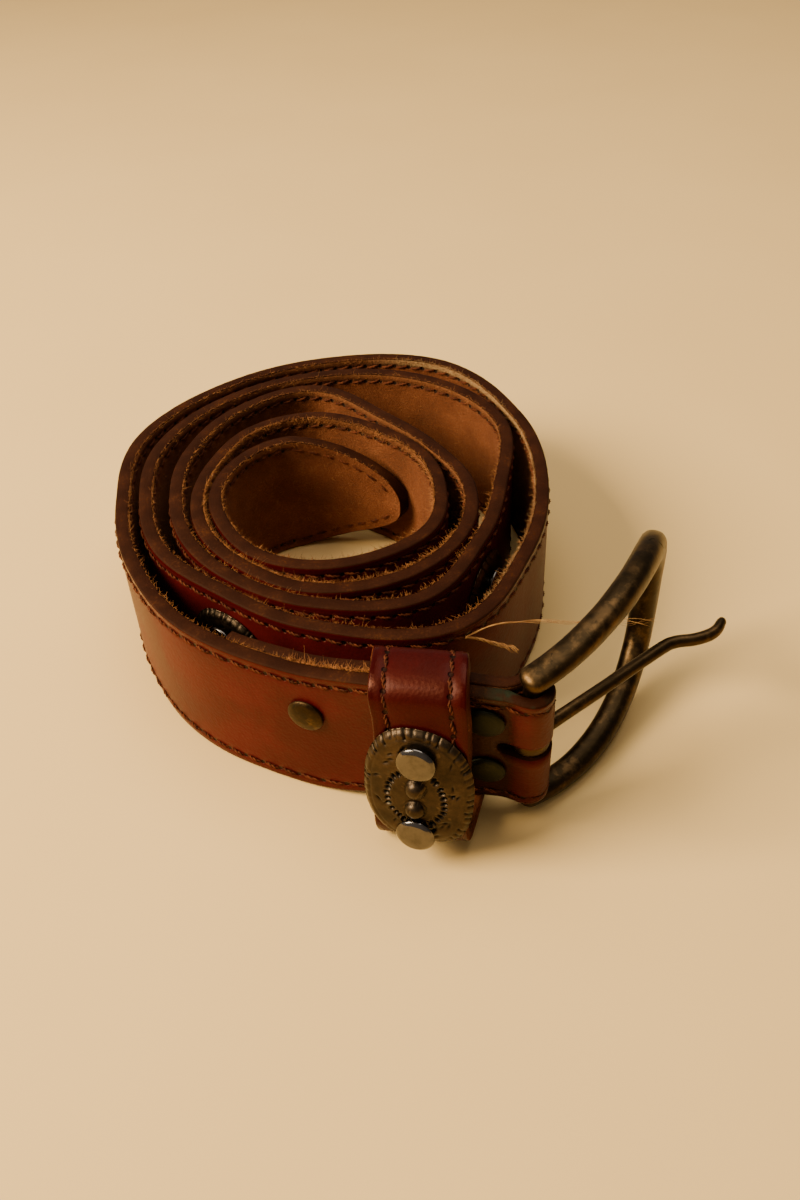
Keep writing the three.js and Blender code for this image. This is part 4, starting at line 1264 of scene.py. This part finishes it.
def make_concho(name, point_at, body_node, seed):
    """A domed plate with a worked face, closed by a plain back."""
    sides, top_rings = 310, 62
    turn = np.arange(sides) / sides
    even = np.linspace(0, 2 * math.pi, 4001)
    power = 2 / CONCHO_SQUARENESS
    outline = np.stack([
        CONCHO_HALF_WIDTH * signed_power(np.cos(even), power),
        CONCHO_HALF_HEIGHT * signed_power(np.sin(even), power),
    ], axis=1)
    rim = even_line(outline, sides + 1)[:-1]
    shares = 1 - (1 - np.linspace(0, 1, top_rings + 1)[1:]) ** 1.15
    across, up = (np.concatenate([[0], np.outer(shares, rim[:, k]).ravel()]) for k in (0, 1))
    share = np.concatenate([[0], np.repeat(shares, sides)])
    turns = np.concatenate([[0], np.tile(turn, top_rings)])
    high = concho_relief(across, up, share, turns, seed)
    high += 0.05 * perlin(np.stack([across, up, np.full(len(up), seed * 3.0)], axis=1), 3.2, seed)
    low_across, low_up = (np.concatenate([r, 0.97 * r, 0.5 * r, [0]]) for r in (rim[:, 0], rim[:, 1]))
    low_out = np.concatenate([np.full(sides, GAP + 0.2), np.full(2 * sides + 1, GAP)])
    points = np.vstack([point_at(across, up, high), point_at(low_across, low_up, low_out)])
    top = len(across)
    faces = []
    side = np.arange(sides)
    beside = (side + 1) % sides
    faces += [(0, int(1 + a), int(1 + b)) for a, b in zip(side, beside)]
    rows = [1 + sides * k for k in range(top_rings)] + [top, top + sides, top + 2 * sides]
    for a, b in zip(rows[:-1], rows[1:]):
        quads = np.stack([a + side, b + side, b + beside, a + beside], axis=1)
        faces += [tuple(q) for q in quads.tolist()]
    last, end = rows[-1], top + 3 * sides
    faces += [(int(last + a), end, int(last + b)) for a, b in zip(side, beside)]
    concho = add_solid(name, points, faces, [CONCHO_METAL])
    sunk = np.zeros(len(points))
    sunk[:top] = smooth((concho_top(share) - concho_bevel(share) - high - 0.1) / 0.28)
    concho.data.attributes.new("sunk", "FLOAT", "POINT").data.foreach_set("value", sunk)
    return finish_piece(concho, "belt", "concho_brass", body_node)


# The rivets

def lathe(name, profile, place, sides, material):
    """A turned piece about a frame's y axis, from radius and height rows that start and end on it."""
    angle = round_angles(sides)
    rows = profile[1:-1]
    points = [(0, profile[0][1], 0)]
    points += [(r * math.cos(a), h, r * math.sin(a)) for r, h in rows for a in angle]
    points.append((0, profile[-1][1], 0))
    faces = [(0, 1 + k, 1 + (k + 1) % sides) for k in range(sides)]
    faces += [tuple(1 + i for i in f) for f in skin_faces(len(rows), sides, caps=False)]
    last = 1 + (len(rows) - 1) * sides
    faces += [(len(points) - 1, last + (k + 1) % sides, last + k) for k in range(sides)]
    return add_solid(name, placed(place, points), faces, [material])


def rounded(points, radius, steps=5):
    """A profile with each inner corner cut to an arc of about that radius."""
    points = [np.array(p, float) for p in points]
    out = [points[0]]
    for before, here, after in zip(points, points[1:], points[2:]):
        a, b = before - here, after - here
        cut = min(radius, 0.45 * np.linalg.norm(a), 0.45 * np.linalg.norm(b))
        a, b = unit(a) * cut, unit(b) * cut
        for t in np.linspace(0, 1, steps):
            out.append(here + a * (1 - t) ** 2 + b * t ** 2)
    out.append(points[-1])
    return out


def make_rivet(name, node, place, grip, material, slot, flatness):
    """A cap rivet with its domed cap towards -y, its grip from y = 0, and a plain back cap."""
    cap, high = RIVET_CAP_RADIUS, RIVET_CAP_HEIGHT
    back = grip + GAP
    outline = [
        (0, -GAP - high), (0.45 * cap, -GAP - (0.93 + 0.05 * flatness) * high),
        (0.8 * cap, -GAP - (0.7 + 0.17 * flatness) * high), (0.97 * cap, -GAP - 0.4 * high),
        (cap, -GAP - 0.12 * high), (0.95 * cap, -GAP), (RIVET_POST_RADIUS, -GAP), (RIVET_POST_RADIUS, back),
        (RIVET_BACK_RADIUS, back), (0.9 * RIVET_BACK_RADIUS, back + 0.7 * RIVET_BACK_HEIGHT),
        (0, back + RIVET_BACK_HEIGHT),
    ]
    profile = [tuple(p) for p in rounded(outline, 0.45)]
    piece = lathe(name, profile, place, 56, material)
    return finish_piece(piece, "belt", slot, node)


def concho_rivets():
    """Each rivet's name, its height over the concho's middle, and how far its cap stands off the leather."""
    for level, offset in (("upper", CONCHO_RIVET_OFFSET), ("lower", -CONCHO_RIVET_OFFSET)):
        up = offset - CONCHO_PATTERN_DROP
        yield level, up, float(concho_top((abs(up) - RIVET_CAP_RADIUS) / CONCHO_HALF_HEIGHT))


def make_concho_rivet(name, level, place, grip):
    make_rivet(f"cap_{name}_{level}", f"{name}_rivet_{level}", place, grip, NICKEL, "rivet_nickel", 0.5)


def make_concho_sets():
    """The conchos on the keeper and on the strap, each with its two rivets."""
    make_concho("concho_keeper", keeper_point, "keeper_concho", 11)
    for level, up, stand in concho_rivets():
        share = KEEPER_CONCHO_SHARE - up / keeper_loop.length
        out = keeper_loop.normal(share)
        local = keeper_loop.at(share) + out * stand
        inward, across = -out, np.array([1.0, 0, 0])
        axes = np.array([across, inward, np.cross(across, inward)]) @ keeper_place[1]
        place = (placed(keeper_place, local), axes)
        grip = stand + KEEPER_THICKNESS + KEEPER_RIVET_SLACK
        make_concho_rivet("keeper", level, place, grip)
    for seed, (name, hour) in zip((12, 13), STRAP_CONCHOS):
        along = float(along_at(hour))

        def point_at(across, up, out, along=along):
            height = STRAP_CONCHO_LEVEL + np.asarray(up)
            return strap_point(along - np.asarray(across), -np.asarray(out), height)

        make_concho(f"concho_{name}", point_at, f"{name}_concho", seed)
        for level, up, stand in concho_rivets():
            place = strap_place(along, -stand, STRAP_CONCHO_LEVEL + up)
            grip = stand + STRAP_THICKNESS
            make_concho_rivet(name, level, place, grip)


def make_dark_rivets():
    """The rivets that go through both layers of the buckle end."""
    def stack(along):
        return float(sum(buckle_end(along, c) for c in ("front", "space", "back")))

    for level, height in FOLD_RIVET_LEVELS.items():
        place = strap_place(FOLD_RIVET_ALONG, buckle_end(FOLD_RIVET_ALONG, "dip"), height)
        make_rivet(f"cap_fold_{level}", f"fold_rivet_{level}", place, stack(FOLD_RIVET_ALONG), DARK_BRONZE,
                   "aged_bronze", 0.4)
    place = strap_place(STRAP_RIVET_ALONG, buckle_end(STRAP_RIVET_ALONG, "dip"), STRAP_RIVET_LEVEL)
    make_rivet("cap_strap", "strap_rivet", place, stack(STRAP_RIVET_ALONG), BRONZE, "aged_bronze", 0.4)


# The buckle

def swung(points, degrees):
    """Points in the buckle's flat frame, turned about the heel bar and set in place."""
    c, s = math.cos(math.radians(degrees)), math.sin(math.radians(degrees))
    points = np.asarray(points, float)
    turned = points @ np.array([[c, s, 0], [-s, c, 0], [0, 0, 1]])
    return placed(HEEL, turned)


def frame_line(t):
    """The middle of the frame's band, from one end of the heel bar round the bow to the other."""
    angle = -0.5 * math.pi + math.pi * t
    power = 2 / FRAME_SQUARENESS
    out = np.clip(np.cos(angle), 0, None) ** power
    side = signed_power(np.sin(angle), power)
    flare = np.sin(0.5 * math.pi * np.minimum(1, out / FRAME_FLARE_SHARE))
    height = HEEL_HALF_HEIGHT + (FRAME_HALF_HEIGHT - HEEL_HALF_HEIGHT) * flare
    return np.stack([FRAME_REACH * out, FRAME_CURVE * out * out, height * side], axis=-1)


def make_frame():
    """The horseshoe band with its rounded ends on the heel bar, as one closed mesh."""
    rings, end_rings, sides, past = 170, 8, 44, 2.3
    line = even_line(frame_line(np.linspace(0, 1, 2001)), rings)
    slope = 2 * FRAME_CURVE * line[:, 0] / FRAME_REACH ** 2
    normal = unit(np.stack([-slope, np.ones_like(slope), np.zeros_like(slope)], axis=1))
    tangent = unit(np.gradient(line, axis=0))
    across = unit(np.cross(normal, tangent))
    # each end is rounded past the heel bar's axis
    ends = np.linspace(0, 0.5 * math.pi, end_rings + 1)[1:]
    head = line[0] - tangent[0] * past * np.sin(ends)[:, None]
    tail = line[-1] + tangent[-1] * past * np.sin(ends)[:, None]
    line = np.vstack([head[::-1], line, tail])
    narrowed = np.cos(ends) * 0.98 + 0.02
    scale = np.concatenate([narrowed[::-1], np.ones(rings), narrowed])
    normal, across = (np.pad(axis, ((end_rings, end_rings), (0, 0)), "edge") for axis in (normal, across))
    angle = round_angles(sides)
    squareness = 0.85
    out = np.clip(line[:, 0] / FRAME_REACH, 0, 1)
    band = 0.5 * (HEEL_BAND_WIDTH + (FRAME_BAND_WIDTH - HEEL_BAND_WIDTH) * out) * scale
    wide, thick = signed_power(np.cos(angle), squareness), signed_power(np.sin(angle), squareness)
    # a shallow groove near the outer rim on the side that faces the roll
    groove_depth, groove_place, groove_width = 0.34, 0.45, 0.13
    groove = groove_depth * bell(wide - groove_place, groove_width) * (np.sin(angle) > 0)
    deep = 0.5 * FRAME_BAND_THICKNESS * thick[None] - groove[None] * smooth(out / 0.4)[:, None]
    deep = deep * scale[:, None]
    points = (line[:, None] + across[:, None] * (band[:, None] * wide[None])[..., None]
              + normal[:, None] * deep[..., None])
    flat = points.reshape(-1, 3)
    worn = perlin(flat, 6, 41) * 0.07 + perlin(flat, 2, 42) * 0.02
    centre = np.repeat(line, sides, axis=0)
    flat = flat + unit(flat - centre + 1e-6) * worn[:, None]
    band = add_solid("buckle_band", swung(flat, FRAME_SWING), skin_faces(len(line), sides), [BRONZE])
    rows = [(0, -HEEL_HALF_HEIGHT), (HEEL_BAR_RADIUS, -HEEL_HALF_HEIGHT), (HEEL_BAR_RADIUS, HEEL_HALF_HEIGHT),
            (0, HEEL_HALF_HEIGHT)]
    origin, axes = HEEL
    upright = (origin, np.array([axes[0], axes[2], axes[1]]))
    bar = lathe("heel_bar", rows, upright, 32, BRONZE)
    combine(band, bar, "UNION")
    return finish_piece(band, "frame", "aged_bronze", "buckle_frame")


def prong_eye():
    """The prong's eye: a ring with a rounded square section."""
    rings, sides, roundness = 48, 20, 0.6
    angle, around = round_angles(sides), round_angles(rings)
    middle = 0.5 * (PRONG_EYE_INNER + PRONG_EYE_OUTER)
    reach = 0.5 * (PRONG_EYE_OUTER - PRONG_EYE_INNER)
    radius = middle + reach * signed_power(np.cos(angle), roundness)
    level = SLOT_LEVEL + 0.5 * PRONG_EYE_WIDTH * signed_power(np.sin(angle), roundness)
    eye = np.stack([np.outer(np.cos(around), radius), np.outer(np.sin(around), radius),
                    np.tile(level, (rings, 1))], axis=-1)
    faces = skin_faces(rings, sides, closed_rows=True)
    return add_solid("prong_eye", swung(eye.reshape(-1, 3), PRONG_SWING), faces, [BRONZE])


def make_prong():
    """The prong: a round wire with a cranked end, and its eye round the heel bar."""
    line = curve_through([(along, aside, 0) for along, aside in PRONG_PATH], 90)
    tangent = unit(np.gradient(line, axis=0))
    aside = np.stack([-tangent[:, 1], tangent[:, 0], np.zeros(len(line))], axis=1)
    sides = 24
    angle = round_angles(sides)
    along = np.linspace(0, 1, len(line))
    # it thins a little towards its end, which is hammered flatter and rounded off
    taper, flattening, flat_from, round_from = 0.06, 0.22, 0.88, 0.985
    wide = PRONG_RADIUS * (1 - taper * along)
    flat_end = 1 - flattening * smooth((along - flat_from) / (1 - flat_from))
    last = np.sqrt(np.clip(1 - smooth((along - round_from) / 0.03) ** 2, 0.2, 1))
    upright = np.array([0, 0, 1.0])
    rows = (line[:, None] + (wide * flat_end * last)[:, None, None] * np.cos(angle)[:, None] * aside[:, None]
            + (wide * last)[:, None, None] * np.sin(angle)[:, None] * upright)
    flat = rows.reshape(-1, 3)
    flat = flat + 0.035 * perlin(flat, 3, 51)[:, None] * unit(flat - np.repeat(line, sides, axis=0) + 1e-6)
    flat = swung(flat + SLOT_LEVEL * upright, PRONG_SWING)
    prong = add_solid("buckle_tongue", flat, skin_faces(len(line), sides), [BRONZE])
    combine(prong, prong_eye(), "UNION")
    return finish_piece(prong, "prong", "aged_bronze", "buckle_prong")


# The stage

def make_stage():
    """The plain floor and the studio's light."""
    reach = 6000
    corners = [(-reach, -reach, 0), (reach, -reach, 0), (reach, reach, 0), (-reach, reach, 0)]
    floor = add_mesh("floor", corners, [(0, 1, 2, 3)], [plain_floor()])
    bpy.context.scene.world = studio_world()
    add_light("key", (-720, -150, 620), 480, 24, (1, 0.82, 0.56))
    add_light("fill", (60, 160, 900), 700, 5.5, (1, 0.92, 0.8))


def studio_world():
    """A room that is lighter on the side of the key light, so that the metal has something to mirror."""
    world = bpy.data.worlds.new("studio")
    world.use_nodes = True
    tree = world.node_tree
    direction = tree.nodes.new("ShaderNodeTexCoord")
    parts = tree.nodes.new("ShaderNodeSeparateXYZ")
    tree.links.new(direction.outputs["Generated"], parts.inputs["Vector"])
    ramp = tree.nodes.new("ShaderNodeValToRGB")
    side = tree.nodes.new("ShaderNodeMapRange")
    side.inputs["From Min"].default_value = -1
    tree.links.new(parts.outputs["X"], side.inputs["Value"])
    tree.links.new(side.outputs["Result"], ramp.inputs["Fac"])
    ramp.color_ramp.elements[0].color = (0.52, 0.43, 0.33, 1)
    ramp.color_ramp.elements[1].color = (0.2, 0.17, 0.14, 1)
    ramp.color_ramp.elements[1].position = 0.8
    tree.links.new(ramp.outputs["Color"], tree.nodes["Background"].inputs["Color"])
    return world


def add_light(name, place, size, power, colour):
    """A square soft light that looks at the roll."""
    data = bpy.data.lights.new(name, "AREA")
    data.size = size * MM
    data.energy = power
    data.color = colour
    light = bpy.data.objects.new(name, data)
    light.location = Vector(place) * MM
    aim = Vector((0, 0, 20)) * MM - light.location
    light.rotation_mode = "QUATERNION"
    light.rotation_quaternion = aim.to_track_quat("-Z", "Y")
    bpy.context.scene.collection.objects.link(light)


def make_camera():
    """A camera with the photograph's view."""
    pitch, roll = math.radians(CAMERA_PITCH), math.radians(CAMERA_ROLL)
    ahead = Vector((0, math.cos(pitch), -math.sin(pitch)))
    right = Vector((1, 0, 0))
    up = Vector((0, math.sin(pitch), math.cos(pitch)))
    x = math.cos(roll) * right + math.sin(roll) * up
    y = -math.sin(roll) * right + math.cos(roll) * up
    data = bpy.data.cameras.new("camera")
    data.lens = CAMERA_LENS
    data.clip_start = 0.01
    camera = bpy.data.objects.new("camera", data)
    turn = Matrix((x, y, -ahead)).transposed().to_4x4()
    camera.matrix_world = Matrix.Translation(Vector(CAMERA_PLACE) * MM) @ turn
    bpy.context.scene.collection.objects.link(camera)
    bpy.context.scene.camera = camera


make_camera()
make_strap()
strap_stitches("grain")
strap_stitches("flesh")
make_fuzz()
make_loose_threads()
make_keeper()
keeper_stitches()
make_concho_sets()
make_dark_rivets()
make_frame()
make_prong()
make_stage()
